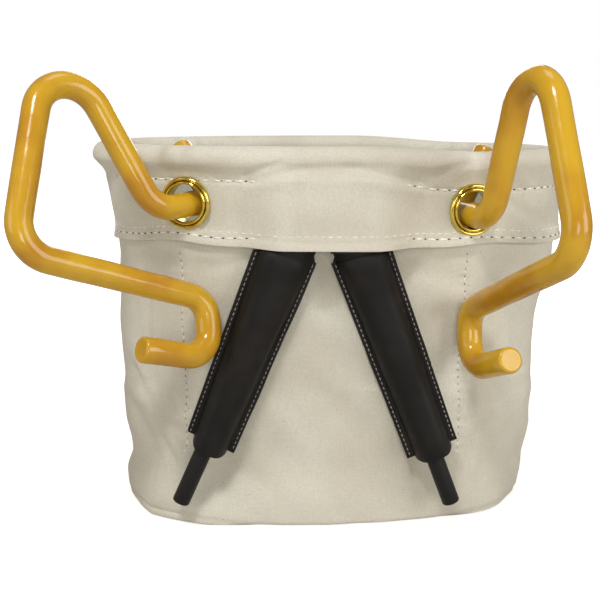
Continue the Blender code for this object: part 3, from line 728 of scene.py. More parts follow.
def make_rope(material):
    """The rope inside the roll, with three strands."""
    piece = primitive(bpy.ops.mesh.primitive_torus_add, "rim_rope_core", major_segments=144,
                      minor_segments=14, major_radius=1, minor_radius=0.2)
    x, y, z = places(piece).T
    angle = np.arctan2(y, x)
    turn = np.arctan2(z, np.hypot(x, y) - 1)
    reach = settings("canvas").rope_radius * (1 - 0.03 * (1 + np.cos(3 * turn + 60 * angle)))
    width, depth = (half + reach * np.cos(turn) for half in ROLL_HALF)
    x, y = oval(width, depth, angle)
    place(piece, x, y, ROLL_Z + reach * np.sin(turn) + rim_sag(x))
    finish_piece(piece, "bucket", material, "rope", "rim_rope")


# Floor, board and lining

FLOOR_THICK = 2.3 * MM
FLANGE_THICK = 1.6 * MM
FLANGE_LOW, FLANGE_RISE = 5 * MM, 11 * MM    # where the upturned edge starts, and its height
LINING_THICK = 1.4 * MM


def oval_disc(name, z, inset):
    """A flat oval face, filled from a circle, inset and poked."""
    piece = primitive(bpy.ops.mesh.primitive_circle_add, name, vertices=144, radius=1,
                      fill_type="NGON")
    start_edit()
    for thickness in (0.04, 0.12, 0.2, 0.2, 0.2):
        bpy.ops.mesh.inset(thickness=thickness, depth=0)
    bpy.ops.mesh.poke()
    end_edit()
    x, y = places(piece).T[:2]
    reach = np.hypot(x, y)
    width, depth = ((half - inset) * reach for half in wall_halves(z))
    x, y = oval(width, depth, np.arctan2(y, x))
    place(piece, x, y, np.full_like(x, z))
    return piece


def make_floor(material):
    """The canvas floor and the upturned flange sewn to the wall."""
    canvas = settings("canvas")
    disc = oval_disc("canvas_floor", z=2.5 * MM, inset=canvas.base_round + 3.2 * MM)
    thicken(disc, FLOOR_THICK)
    flange, angle, share = tube("floor_flange", stations=72, levels=5, cuts=1)
    points = body_surface(angle, FLANGE_LOW + FLANGE_RISE * share)
    outward = points[:, :2] / np.linalg.norm(points[:, :2], axis=1)[:, None]
    points[:, :2] -= outward * (canvas.thickness + 0.5 * MM)
    place(flange, points)
    thicken(flange, FLANGE_THICK)
    make_active(disc)
    flange.select_set(True)
    bpy.ops.object.join()
    set_cloth_map(disc, *places(disc).T[:2])
    recalculate_outside(disc)
    finish_piece(disc, "bucket", material, "canvas", "floor_panel")


def make_board(material):
    """The stiff board on the floor, with rounded edges."""
    canvas = settings("canvas")
    piece = oval_disc("floor_board", z=2.8 * MM, inset=canvas.base_round + 1.4 * MM)
    make_active(piece)
    start_edit()
    extrude_along((0, 0, canvas.board_thickness))
    end_edit()
    recalculate_outside(piece)
    soften_rims(piece, 1.2 * MM)
    finish_piece(piece, "bucket", material, "board", "bottom_board", angle=40)


def make_lining(material):
    """The second layer inside the front wall."""
    low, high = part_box("front_lining")
    piece, across, up = patch("front_lining_cloth", columns=96, rows=60)
    x = (low.x + high.x) / 2 + across * (high.x - low.x) / 2
    z = (low.z + high.z) / 2 + up * (high.z - low.z) / 2
    half_width, half_depth = wall_halves(z)
    wall_y = -half_depth * (1 - np.abs(x / half_width) ** OVAL_POWER) ** (1 / OVAL_POWER)
    loose = 0.8 * MM * (1 + ripple(x, wall_y, z, 60 * MM, 44))
    loose *= smooth((high.x - np.abs(x)) / (12 * MM))
    y = wall_y - body_offset(x, wall_y, z) + CLOTH + 1.0 * MM + np.maximum(loose, 0)
    place(piece, x, np.maximum(y, wall_y + 2.6 * MM), z)
    set_cloth_map(piece, x, z)
    thicken(piece, -LINING_THICK)
    recalculate_outside(piece)
    soften_rims(piece, 0.4 * MM)
    finish_piece(piece, "bucket", material, "lining", "front_lining")


# Thread


def stitch_template(long, wide):
    """One stitch along X that dips at both ends, as places and faces."""
    piece = primitive(bpy.ops.mesh.primitive_uv_sphere_add, "stitch", segments=8, ring_count=6,
                      radius=1)
    start_edit()
    bpy.ops.transform.rotate(value=math.pi / 2, orient_axis="Y", center_override=(0, 0, 0))
    bpy.ops.transform.resize(value=(long / 2, wide / 2, wide / 2.4), center_override=(0, 0, 0))
    end_edit()
    points = places(piece)
    # The middle stands 0.28 of the width proud, and the ends dip into the holes
    points[:, 2] += wide * (0.28 - 0.75 * (2 * points[:, 0] / long) ** 2)
    faces = [tuple(face.vertices) for face in piece.data.polygons]
    bpy.data.objects.remove(piece, do_unlink=True)
    return points, faces


def sew(name, body, material, slot, spots, long, wide):
    """A row of stitches; a spot is a place, a direction along the row and a normal."""
    template, faces = stitch_template(long, wide)
    points, all_faces = [], []
    for number, (spot, along, normal) in enumerate(spots):
        along = along / np.linalg.norm(along)
        side = np.cross(normal, along)
        side /= np.linalg.norm(side)
        start = number * len(template)
        points.append(spot + template @ np.array((along, side, np.cross(along, side))))
        all_faces += [tuple(start + corner for corner in face) for face in faces]
    mesh = bpy.data.meshes.new(name)
    mesh.from_pydata(np.concatenate(points).tolist(), [], all_faces)
    piece = bpy.data.objects.new(name, mesh)
    bpy.context.collection.objects.link(piece)
    finish_piece(piece, body, material, slot)


def unit_cross(first, second):
    """Rows at right angles to two directions, one long."""
    normals = np.cross(first, second)
    return normals / np.linalg.norm(normals, axis=1)[:, None]


def collar_spots(angles, shares, seed):
    """Spots of a row on the collar, each leaning a little."""
    here = collar_surface(angles, shares)
    along = collar_surface(angles + SMALL_STEP, shares) - here
    down = collar_surface(angles, np.clip(shares + SMALL_STEP, 0, 1))
    down -= collar_surface(angles, shares - SMALL_STEP)
    normals = unit_cross(down, along)
    normals[(normals[:, :2] * here[:, :2]).sum(axis=1) < 0] *= -1
    draw = np.random.default_rng(seed)
    return [(spot, direction + np.cross(normal, direction) * draw.normal(0, 0.05), normal)
            for spot, direction, normal in zip(here, along, normals)]


def collar_share(angle, height):
    """Share down the strip at a height above the collar's lower edge."""
    down = 1 - height / (upper_row(mouth_x(angle)) - collar_edge(angle))
    return FALL_SHARE + (1 - FALL_SHARE) * down


def make_stitches(thread, hole_shadow):
    """Three rows round the collar and two upright rows on the front; the dark marks between the
    stitches are painted shadow in the needle holes.
    """
    canvas = settings("canvas")
    kinds = (("stitches", thread, 0, canvas.stitch_length, canvas.stitch_width),
             # needle_holes are dark marks of painted shadow in the needle holes, half a pitch from
             # the stitches
             ("needle_holes", hole_shadow, 0.5, *NEEDLE_HOLE))
    for seed, row in ((60, "upper"), (61, "lower")):
        for kind, material, late, long, wide in kinds:
            angles = angles_every(canvas.stitch_pitch, late)
            x, y = oval(*ROLL_HALF, angles)
            angles = angles[(y > 0) | (np.abs(x) > 58 * MM)]    # none over the sheaths
            shares = np.full(len(angles), FALL_SHARE)
            if row == "lower":
                shares = collar_share(angles, lower_row(mouth_x(angles)))
            sew(kind + "_" + row, "bucket", material, "canvas",
                collar_spots(angles, shares, seed), long, wide)
    angles = angles_every(MIDDLE_PITCH)
    sew("stitches_middle", "bucket", thread, "canvas",
        collar_spots(angles, collar_share(angles, MIDDLE_ROW), 63), *FINE_STITCH)
    for side, sign in SIDES.items():
        z = np.arange(SEAM_LOW, SEAM_HIGH, SEAM_STITCH_PITCH)
        share = np.abs(SEAM_PLACES[side] / wall_halves(z)[0])
        turn = -np.arccos(sign * share ** (OVAL_POWER / 2))
        here = body_surface(turn, z)
        up = body_surface(turn, z + SMALL_STEP) - here
        normals = unit_cross(body_surface(turn + SMALL_STEP, z) - here, up)
        sew("stitches_seam_" + side, "bucket", thread, "canvas", zip(here, up, normals),
            *SEAM_STITCH)
        # Dark marks between the seam stitches are painted shadow of the puckered needle holes
        between = body_surface(turn, z + SEAM_STITCH_PITCH / 2)
        sew("needle_holes_seam_" + side, "bucket", hole_shadow, "canvas", zip(between, up, normals),
            *SEAM_HOLE)


# Grommets

EDGE_STEPS = 14    # over half a turn of the rolled edge


def turned(name, side, profile, steps):
    """A closed profile of radius and height spun round a grommet's axis."""
    piece = primitive(bpy.ops.mesh.primitive_circle_add, name, vertices=len(profile), radius=1)
    radii, heights = np.array(profile).T
    place(piece, radii, radii * 0, heights)
    start_edit()
    bpy.ops.mesh.spin(steps=steps, angle=math.tau, center=(0, 0, 0), axis=(0, 0, 1))
    bpy.ops.mesh.select_all(action="SELECT")
    bpy.ops.mesh.remove_doubles(threshold=0.00001)
    end_edit()
    recalculate_outside(piece)
    middle, axis, _, high = grommet_line(side)
    normal = Vector(axis)
    right = Vector((0, 0, 1)).cross(normal).normalized()
    turn = Matrix((right, normal.cross(right), normal)).transposed().to_4x4()
    piece.data.transform(Matrix.Translation(Vector(middle + axis * high)) @ turn)
    return piece


def make_grommets(material):
    """A rolled brass eyelet and its washer at each side; heights start at the CAD eyelet's face."""
    brass = settings("brass")
    hole, rim, crown, metal = brass.hole, brass.rim, brass.crown, brass.metal
    mid = hole + (rim - hole) * 0.44    # crest of the rolled edge
    inner = hole + metal + 0.3 * MM
    seat = 6.5 * MM + crown             # outer face of the washer
    washer = [(inner, -seat - 1.1 * MM), (rim - 0.4 * MM, -seat - 1.1 * MM),
              (rim, -seat - 0.8 * MM), (rim, -seat - 0.3 * MM), (rim - 0.4 * MM, -seat),
              (inner, -seat)]
    for side in SIDES:
        low, high = grommet_line(side)[2:]
        back = low - high
        profile = [(hole, back + 0.4 * MM), (hole + 0.4 * MM, back), (hole + 2.5 * MM, back),
                   (hole + 2.5 * MM, back + metal), (hole + metal, back + metal + 0.3 * MM),
                   (hole + metal, 0.8 * MM - crown)]
        for step in range(EDGE_STEPS + 1):
            turn = math.pi * step / EDGE_STEPS
            profile.append((mid + (rim - mid) * (0.5 + 0.5 * math.cos(turn)),
                            crown * (0.86 * math.sin(turn) ** 0.8 - 0.93)))
        for step in range(1, EDGE_STEPS - 1):
            turn = math.pi * step / EDGE_STEPS
            profile.append((hole + (mid - hole) * (0.5 + 0.5 * math.cos(turn)),
                            crown * (0.5 * math.sin(turn) ** 0.8 - 0.5)
                            - 0.25 * MM * (1 - math.sin(turn))))
        profile.append((hole, -crown * 0.7))
        for name, node, outline, steps in (("rolled_eyelet_", "eyelet_", profile[::-1], 72),
                                           ("washer_", "washer_", washer, 64)):
            finish_piece(turned(name + side, side, outline, steps), "bucket", material, "brass",
                         "grommet_" + node + side, angle=40)


# Coated hooks


def hook_place(side):
    """A hook's matrix: its origin lies in the middle of its grommet's barrel."""
    joint = next(row for row in frame["joints"] if row["name"] == "hook_" + side + "_swing")
    swing, lift, lean = (math.radians(value) for value in HOOK_TURNS[side])
    turn = Matrix.Rotation(swing * SIDES[side], 4, "Z") @ Matrix.Rotation(-lift, 4, "X")
    turn = turn @ Matrix.Rotation(-lean * SIDES[side], 4, "Y")
    return Matrix.Translation(Vector(joint["pos_m"])) @ turn


def ring_add(name, radius, spot, heading, **values):
    """A circle across a direction, left in edit mode."""
    turn = heading.to_track_quat("Z", "Y").to_euler()
    piece = primitive(bpy.ops.mesh.primitive_circle_add, name, radius=radius, location=spot,
                      rotation=turn, **values)
    bpy.ops.object.transform_apply(location=True, rotation=True, scale=True)
    start_edit()
    return piece


def bent_coat(name, corners):
    """A coat swept as by hand: a ring extruded along each straight and spun round each bend."""
    hooks = settings("hooks")
    radius, rounding = hooks.coat_radius, hooks.end_round
    corners = [Vector(corner) * MM for corner in corners]
    heading = (corners[1] - corners[0]).normalized()
    piece = ring_add(name, hooks.bare_spot, corners[0], heading, vertices=28)
    here, reach = corners[0].copy(), hooks.bare_spot

    def carry(target, wanted):
        """Extrude the ring to a place and scale it to a radius."""
        nonlocal here, reach
        extrude_along(target - here)
        here = target
        factor = wanted / reach
        bpy.ops.transform.resize(value=(factor, factor, factor), center_override=here)
        reach = wanted

    def carry_straight(target):
        """Extrude the ring along a straight in even pieces."""
        nonlocal here
        pieces = max(1, round((target - here).length / (12 * MM)))
        for step in range(pieces):
            extrude_along((target - here) / pieces)
        here = target

    for turn in map(math.radians, (0, 30, 60, 90)):
        carry(corners[0] + heading * (rounding * (1 - math.cos(turn))),
              radius - rounding * (1 - math.sin(turn)))
    for before, corner, after, bend in zip(corners, corners[1:], corners[2:], HOOK_BENDS):
        bend = bend * MM
        before = (before - corner).normalized()
        after = (after - corner).normalized()
        turn = math.pi - before.angle(after)
        setback = bend * math.tan(turn / 2)
        start, end = corner + before * setback, corner + after * setback
        carry_straight(start)
        centre = corner + (before + after).normalized() * (bend / math.cos(turn / 2))
        axis = (start - centre).cross(end - centre).normalized()
        bpy.ops.mesh.spin(steps=max(6, round(math.degrees(turn) / 7)), angle=-turn,
                          center=centre, axis=axis)
        here = end
    heading = (corners[-1] - here).normalized()
    last = corners[-1] - heading * rounding
    carry_straight(last)
    for turn in map(math.radians, (30, 60, 90)):
        carry(last + heading * (rounding * math.sin(turn)),
              radius - rounding * (1 - math.cos(turn)))
    for share, depth in ((0.62, 0.25 * MM), (0.3, 0.15 * MM)):    # the dimple of the dipped end
        carry(here - heading * depth, share * radius)
    bpy.ops.mesh.edge_face_add()
    end_edit()
    return piece


def make_hooks(coat, rod):
    """Both hooks: the dipped coat, and the bare rod of the CAD inside it."""
    for side, sign in SIDES.items():
        piece = bent_coat("coated_hook_" + side, [(x * sign, y, z) for x, y, z in HOOK_CORNERS])
        recalculate_outside(piece)
        points = places(piece)
        normals = read(piece.data.vertices, "normal", float, 3).reshape(-1, 3)
        lumps = 0.12 * MM * ripple(*points.T, 26 * MM, 71)
        place(piece, points + normals * lumps[:, None])
        thicken(piece, settings("hooks").coat_cover)
        recalculate_outside(piece)
        piece.data.transform(hook_place(side))
        finish_piece(piece, "hook_" + side, coat, "coat", "hook_coat_" + side)
        dress(frame["nodes"]["hook_rod_" + side], rod)


# Leather sheaths and bars


def sheath_matrix(side):
    """Across, down and off the wall for a sheath, as a matrix."""
    tilt = math.radians(SHEATH_TILTS[side])
    sign = SIDES[side]
    across = Vector((sign * math.cos(tilt), 0, math.sin(tilt)))
    down = Vector((sign * math.sin(tilt), 0, -math.cos(tilt)))
    turn = Matrix((across, down, Vector((0, -1, 0)))).transposed().to_4x4()
    start = Vector((sign * SHEATH_SPREADS[side], -SHEATH_BACK, COLLAR_LOW))
    return Matrix.Translation(start) @ turn


def sheath_top(side, across, drop):
    """How far down a column starts, so that its top lies level under the collar."""
    tilt = math.radians(SHEATH_TILTS[side])
    return (COLLAR_LOW - SHEATH_CREST + drop + across * math.sin(tilt)) / math.cos(tilt)


def sheath_length(side):
    """From the collar's lower edge to the end of the seams."""
    return (COLLAR_LOW - SHEATH_RAISE) / math.cos(math.radians(SHEATH_TILTS[side]))


def sheath_across(side, share, down_share):
    """Place across a sheath, wider at the top, for a share of its half width."""
    flares = [top + (bottom - top) * down_share for top, bottom in SHEATH_FLARES[side]]
    return share * (settings("leather").half_width + np.where(share > 0, *flares))


def arch_height(share, down_share):
    """Height of the raised middle off the flat seams, for a share of the half width."""
    top, bottom = FLANGE_WIDTHS
    flange = (top + (bottom - top) * down_share) / settings("leather").half_width
    return ARCH_RISE * (1 - np.clip(np.abs(share) / (1 - flange), 0, 1) ** 2.5) ** (1 / 1.7)


def flange_height():
    """Height of the seams' outer face off the back plane."""
    return 2 * settings("leather").thickness + CLEAR


def seam_end(side, share):
    """How far down the sewn edge runs, from the inner to the outer seam."""
    outer, inner = SHEATH_ENDS[side][:2]
    return sheath_length(side) + inner + (outer - inner) * (share + 1) / 2


def sheath_bottom(side, share):
    """How far down the front piece runs, with the raised middle below the seams."""
    half = settings("leather").half_width
    seam = seam_end(side, share)
    arch_share = 1 - FLANGE_WIDTHS[1] / half
    round_share = ARCH_ROUND / half
    corner = np.clip((np.abs(share) - arch_share + round_share) / round_share, 0, 1)
    arch = np.where(np.abs(share) < arch_share, np.sqrt(1 - corner * corner), 0)
    return seam + (sheath_length(side) + SHEATH_ENDS[side][2] - seam) * arch


def even_columns(count):
    """Shares across the front piece, evenly spaced along its arched section."""
    share = np.linspace(-1, 1, 1201)
    step = np.hypot(np.diff(share * settings("leather").half_width),
                    np.diff(arch_height(share, 0.5)))
    run = np.concatenate(([0], np.cumsum(step)))
    return np.interp(np.linspace(0, run[-1], count), run, share)


def cut_drop(share):
    """How far the upper edge slopes down towards the other sheath."""
    return CUT_DROP * np.clip((0.3 - share) / 1.3, 0, 1)


def lay_leather(piece, side, thickness, across, down, height):
    """Lay a sheet of leather on a sheath's place and give it its thickness."""
    place(piece, across, down, height)
    set_cloth_map(piece, across, down)
    piece.data.transform(sheath_matrix(side))
    face_front(piece)
    thicken(piece, thickness)


def make_front(side, material):
    """The raised front of a sheath."""
    columns, rows = 65, 61
    thick = settings("leather").thickness
    piece, x, y = patch("sheath_leather_" + side, columns - 1, rows - 1)
    share = even_columns(columns)[np.rint((x + 1) / 2 * (columns - 1)).astype(int)]
    down_share = (1 - y) / 2
    across = sheath_across(side, share, down_share)
    top = sheath_top(side, across, cut_drop(share))
    down = top + (sheath_bottom(side, share) - top) * down_share
    arch = arch_height(share, down_share)
    uneven = 0.5 * MM * ripple(across, down, down * 0, 48 * MM, 80 + SIDES[side])
    uneven -= 1.2 * MM * smooth((down - sheath_length(side)) / (14 * MM))
    uneven -= 2.2 * MM * smooth((8 * MM - down) / (8 * MM))    # pressed flat under the collar
    height = flange_height() + arch + uneven * smooth((arch + CLEAR - 1 * MM) / (8 * MM))
    across = across + 0.4 * MM * np.sin(down / (13 * MM) + SIDES[side]) * share
    lay_leather(piece, side, thick, across, down, height)
    soften_rims(piece, 0.5 * MM)
    finish_piece(piece, "sheath_" + side, material, "leather", "sheath_front_" + side)


def make_back(side, material):
    """The flat back of a sheath, a little wider than the front's seams."""
    thick = settings("leather").thickness
    piece, share, up = patch("sheath_strap_" + side, columns=12, rows=48)
    across = sheath_across(side, share, (1 - up) / 2) + 0.3 * MM * share
    top = sheath_top(side, across, 0)
    down = top + (seam_end(side, share) + 0.3 * MM - top) * (1 - up) / 2
    waisted = 0.17 * smooth((13 * MM - down + top) / (4 * MM))
    across = across * np.where(share < 0, 1 - waisted, 1)
    lay_leather(piece, side, thick - 0.1 * MM, across, down, np.full_like(down, thick))
    soften_rims(piece, 0.5 * MM)
    finish_piece(piece, "sheath_" + side, material, "leather", "sheath_back_" + side)


def sew_sheath(side, thread):
    """A row of thread down both seams."""
    leather = settings("leather")
    matrix = sheath_matrix(side)
    turn = matrix.to_3x3()
    run, rise = np.array(turn.col[1]), np.array(turn.col[2])
    spots = []
    for sign in (-1, 1):
        share = sign * (1 - leather.stitch_inset / leather.half_width)
        top = sheath_top(side, sheath_across(side, share, 0), cut_drop(share)) + 3 * MM
        bottom = sheath_bottom(side, np.array(share)) - 2 * MM
        for down in np.arange(top, bottom, leather.stitch_pitch):
            across = sheath_across(side, share, (down - top) / (bottom - top))
            spot = matrix @ Vector((across, down, flange_height() + 0.15 * MM))
            spots.append((np.array(spot), run, rise))
    sew("sheath_thread_" + side, "sheath_" + side, thread, "leather", spots, *SHEATH_STITCH)


def make_bend(side, material):
    """The soft leather that runs from a sheath's top up behind the collar."""
    piece, x, y = patch("sheath_bend_" + side, columns=32, rows=16)
    share = 0.78 * x
    across = sheath_across(side, share, 0)
    crest = sheath_top(side, across, 0)
    low = crest + cut_drop(share) + 4 * MM
    down = low + (crest - 9 * MM - low) * (y + 1) / 2
    arch = arch_height(share, 0)
    pressed = np.clip(arch + CLEAR - 1 * MM, 0, None)
    sunk = 2.2 * MM * smooth((8 * MM - down) / (8 * MM)) * smooth(pressed / (8 * MM))
    sunk += 0.3 * np.clip(crest - down, 0, None) + 0.6 * MM
    lay_leather(piece, side, 1.2 * MM, across, down, flange_height() + arch - sunk)
    finish_piece(piece, None, material, "leather")
    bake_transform(piece)


def make_bar(side, material):
    """The round bar in a sheath, with its bevelled ends."""
    middle, axis, low, high = node_line("bar_" + side, 0, 2)
    heading = Vector(axis)
    piece = ring_add("round_bar_" + side, settings("leather").bar_radius,
                     Vector(middle + axis * low), heading, vertices=40, fill_type="NGON")
    for step in range(8):
        extrude_along(heading * ((high - low) / 8))
    end_edit()
    recalculate_outside(piece)
    soften_rims(piece, 1.1 * MM)
    finish_piece(piece, "bar_" + side, material, "bar", "bar_" + side, angle=40)


# Materials


def add_node(tree, kind, inputs=None, **values):
    """A node with its settings; an input is a plain value or another node's socket."""
    node = tree.nodes.new(kind)
    for key, value in values.items():
        setattr(node, key, value)
    for key, value in (inputs or {}).items():
        if isinstance(value, bpy.types.NodeSocket):
            tree.links.new(value, node.inputs[key])
        else:
            node.inputs[key].default_value = value
    return node


def new_material(name, **sockets):
    """A Principled material with plain socket values, its tree and places on the piece."""
    material = bpy.data.materials.new(name)
    material.use_nodes = True
    tree = material.node_tree
    for key, value in sockets.items():
        tree.nodes["Principled BSDF"].inputs[key.replace("_", " ")].default_value = value
    return material, tree, add_node(tree, "ShaderNodeTexCoord").outputs["Object"]


def shade(tree, colour_socket, rough=None, height=None, strength=0.3, distance=0.15 * MM):
    """Join a colour, a roughness and a relief to the shader."""
    inputs = tree.nodes["Principled BSDF"].inputs
    tree.links.new(colour_socket, inputs["Base Color"])
    if rough:
        tree.links.new(rough, inputs["Roughness"])
    if height:
        bump = add_node(tree, "ShaderNodeBump",
                        {"Strength": strength, "Distance": distance, "Height": height})
        tree.links.new(bump.outputs["Normal"], inputs["Normal"])


def opaque(rgb, share=1.0):
    """A colour with full alpha, made darker or paler by a share."""
    return (*(min(1, part * share) for part in rgb), 1.0)


def blend_colours(tree, factor, first, second):
    """A mix of two colours, each plain or from a socket."""
    node = add_node(tree, "ShaderNodeMix", {0: factor, 6: first, 7: second}, data_type="RGBA")
    return node.outputs[2]


def band(tree, value, low, high):
    """A value mapped softly from low and high to nought and one."""
    node = add_node(tree, "ShaderNodeMapRange",
                    {"Value": value, "From Min": low, "From Max": high},
                    interpolation_type="SMOOTHSTEP")
    return node.outputs["Result"]


def spread(tree, value, low, high):
    """A share mapped evenly to low and high."""
    node = add_node(tree, "ShaderNodeMapRange", {"Value": value, "To Min": low, "To Max": high})
    return node.outputs["Result"]


def noise(tree, vector, size, detail=2.0, roughness=0.5):
    """Noise with swells of a size in metres."""
    return add_node(tree, "ShaderNodeTexNoise",
                    {"Vector": vector, "Scale": 1 / size, "Detail": detail,
                     "Roughness": roughness}).outputs["Fac"]


def cells(tree, vector, size, **values):
    """Scattered cells of a size in metres."""
    return add_node(tree, "ShaderNodeTexVoronoi", {"Vector": vector, "Scale": 1 / size},
                    **values).outputs


def math_node(tree, operation, first, second=0.0):
    """One sum."""
    return add_node(tree, "ShaderNodeMath", {0: first, 1: second},
                    operation=operation).outputs["Value"]


def duck_canvas(canvas):
    """Unbleached cotton duck, woven plain and unwashed: matte, warm, with husk flecks.

    Its threads are about 0.7 mm apart, too fine for the picture, so the weave is drawn
    at 1.3 mm. Thicker slubs run along both threads.
    """
    material, tree, solid = new_material("cotton duck canvas", Roughness=0.92, Sheen_Weight=0.12,
                                         Sheen_Roughness=0.6, Specular_IOR_Level=0.25)
    pitch, slub_length, slub_width = 1.3 * MM, 14 * MM, 1.3 * MM
    cloth_map = add_node(tree, "ShaderNodeUVMap", uv_map="cloth").outputs["UV"]
    threads = add_node(tree, "ShaderNodeSeparateXYZ", {"Vector": cloth_map}).outputs
    waves = [math_node(tree, "SINE", math_node(tree, "MULTIPLY", threads[axis], math.tau / pitch))
             for axis in ("X", "Y")]
    slubs = []
    for wide, high in ((slub_length, slub_width), (slub_width, slub_length)):
        stretched = add_node(tree, "ShaderNodeMapping",
                             {"Vector": cloth_map, "Scale": (1 / wide, 1 / high, 1.0)})
        slubs.append(noise(tree, stretched.outputs["Vector"], 1.0))
    slub = math_node(tree, "ADD", *slubs)
    cloth, worn = canvas.cloth_colour, canvas.shade_colour
    patches = band(tree, noise(tree, solid, 70 * MM, 3.0), 0.38, 0.68)
    base = blend_colours(tree, patches, opaque(cloth), opaque(worn))
    toned = blend_colours(tree, band(tree, slub, 0.72, 1.28), opaque(cloth, 0.86),
                          opaque(cloth, 1.1))
    base = blend_colours(tree, 0.16, base, toned)
    grain = band(tree, noise(tree, solid, 1.6 * MM, 2.0, 0.7), 0.3, 0.7)
    base = blend_colours(tree, math_node(tree, "MULTIPLY", grain, 0.3), base, opaque(worn, 0.72))
    spots = cells(tree, solid, 7 * MM)
    small = band(tree, spots["Distance"], 0.075, 0.045)
    chosen = add_node(tree, "ShaderNodeSeparateColor", {"Color": spots["Color"]}).outputs[0]
    kept = math_node(tree, "GREATER_THAN", chosen, 0.55)
    flecks = math_node(tree, "MULTIPLY", math_node(tree, "MULTIPLY", small, kept), 0.6)
    base = blend_colours(tree, flecks, base, opaque(canvas.fleck_colour))
    weave = math_node(tree, "MULTIPLY", math_node(tree, "MULTIPLY", *waves), 0.35)
    shade(tree, base, None, math_node(tree, "ADD", weave, slub), 0.45, 0.25 * MM)
    return material


def cotton_thread(name, rgb):
    """Three-ply sewing thread, twisted: soft sheen and a fine slant across each stitch."""
    material, tree, solid = new_material(name, Roughness=0.7, Sheen_Weight=0.2,
                                         Specular_IOR_Level=0.35)
    tone = band(tree, noise(tree, solid, 3 * MM), 0.3, 0.7)
    twist = add_node(tree, "ShaderNodeTexWave", {"Vector": solid, "Scale": 320.0,
                                                 "Distortion": 1.0}, bands_direction="DIAGONAL")
    shade(tree, blend_colours(tree, tone, opaque(rgb, 0.75), opaque(rgb)), None,
          twist.outputs["Fac"], 0.4, 0.1 * MM)
    return material


def dipped_vinyl(rgb, thin):
    """Plastisol coat, dipped and baked: glossy, a little lumpy, darker where it is thin."""
    material, tree, solid = new_material("dipped plastisol", Roughness=0.2, IOR=1.48)
    tone = band(tree, noise(tree, solid, 45 * MM), 0.35, 0.7)
    base = blend_colours(tree, tone, opaque(rgb), opaque(thin))
    pit = band(tree, cells(tree, solid, 28 * MM)["Distance"], 0.09, 0.05)
    pit = math_node(tree, "MULTIPLY", pit, 0.35)
    rough = band(tree, noise(tree, solid, 12 * MM, 3.0), 0.2, 0.9)
    lumps = math_node(tree, "SUBTRACT", noise(tree, solid, 14 * MM, 1.0), pit)
    shade(tree, blend_colours(tree, pit, base, opaque(thin)), spread(tree, rough, 0.13, 0.26),
          lumps, 0.5, 0.5 * MM)
    return material


def polished_brass(rgb):
    """Yellow brass sheet, stamped, rolled and polished: sharp reflections, fine scratches."""
    material, tree, solid = new_material("polished brass", Roughness=0.12, Metallic=1.0)
    tone = band(tree, noise(tree, solid, 9 * MM, 3.0), 0.35, 0.75)
    shade(tree, blend_colours(tree, tone, opaque(rgb), opaque(rgb, 0.8)),
          spread(tree, noise(tree, solid, 4 * MM, 4.0), 0.07, 0.2),
          noise(tree, solid, 6 * MM), 0.15, 0.2 * MM)
    return material


def black_cowhide(rgb, wear):
    """Chrome-tanned cowhide, dyed and pressed: satin, pebbled grain, browner where rubbed."""
    material, tree, solid = new_material("black cowhide", Roughness=0.48, Specular_IOR_Level=0.25)
    tone = band(tree, noise(tree, solid, 30 * MM, 4.0), 0.4, 0.75)
    pebbles = cells(tree, solid, 0.9 * MM, feature="DISTANCE_TO_EDGE")["Distance"]
    crease = math_node(tree, "MULTIPLY", noise(tree, solid, 7 * MM, 5.0, 0.65), 1.5)
    shade(tree, blend_colours(tree, tone, opaque(rgb), opaque(wear)),
          spread(tree, noise(tree, solid, 10 * MM, 3.0), 0.38, 0.6),
          math_node(tree, "ADD", band(tree, pebbles, 0.0, 0.25), crease))
    return material


def fine_grained(name, rgb, roughness, size, contrast, metallic=0.0):
    """A plain material with a fine uneven surface, such as moulded plastic or pressed board."""
    material, tree, solid = new_material(name, Roughness=roughness, Metallic=metallic,
                                         Specular_IOR_Level=0.3)
    grain = noise(tree, solid, size, 4.0, 0.6)
    shade(tree, blend_colours(tree, band(tree, grain, 0.3, 0.75), opaque(rgb, 1 - contrast),
                              opaque(rgb)),
          spread(tree, grain, roughness * 0.85, min(1, roughness * 1.15)), grain)
    return material


def canvas_material():
    """The body's duck canvas, made the first time it is asked for."""
    return bpy.data.materials.get("cotton duck canvas") or duck_canvas(settings("canvas"))


def paper_floor(rgb):
    """Matte white paper, sprayed flat: it renders white and keeps the shadows."""
    material, tree, solid = new_material("white paper floor", Roughness=0.95)
    tone = band(tree, noise(tree, solid, 0.4, 1.0), 0.0, 1.0)
    shade(tree, blend_colours(tree, tone, opaque(rgb), opaque(rgb, 0.99)))
    seen = add_node(tree, "ShaderNodeLightPath").outputs["Is Camera Ray"]
    reach = add_node(tree, "ShaderNodeVectorMath", {0: solid}, operation="LENGTH")
    far = add_node(tree, "ShaderNodeMapRange", {"Value": reach.outputs["Value"], "From Min": 0.3,
                                                "From Max": 0.9, "To Min": 0.74, "To Max": 1.0})
    inputs = tree.nodes["Principled BSDF"].inputs
    inputs["Emission Color"].default_value = (1, 1, 1, 1)
    tree.links.new(math_node(tree, "MULTIPLY", seen, far.outputs["Result"]),
                   inputs["Emission Strength"])
    return material


def studio_world():
    """Plain white surroundings, warmer and softer as a light than as a backdrop."""
    world = bpy.data.worlds.new("studio")
    world.use_nodes = True
    tree = world.node_tree
    inputs = tree.nodes["Background"].inputs
    path = add_node(tree, "ShaderNodeLightPath").outputs
    seen = math_node(tree, "MAXIMUM", path["Is Camera Ray"], path["Is Transmission Ray"])
    mirrored = math_node(tree, "MULTIPLY", path["Is Glossy Ray"], 0.14)
    seen = math_node(tree, "MAXIMUM", seen, mirrored)
    warm = blend_colours(tree, seen, (1.0, 0.82, 0.62, 1), (1, 1, 1, 1))
    tree.links.new(warm, inputs["Color"])
    tree.links.new(spread(tree, seen, 0.17, 1.0), inputs["Strength"])
    bpy.context.scene.world = world


# Stage

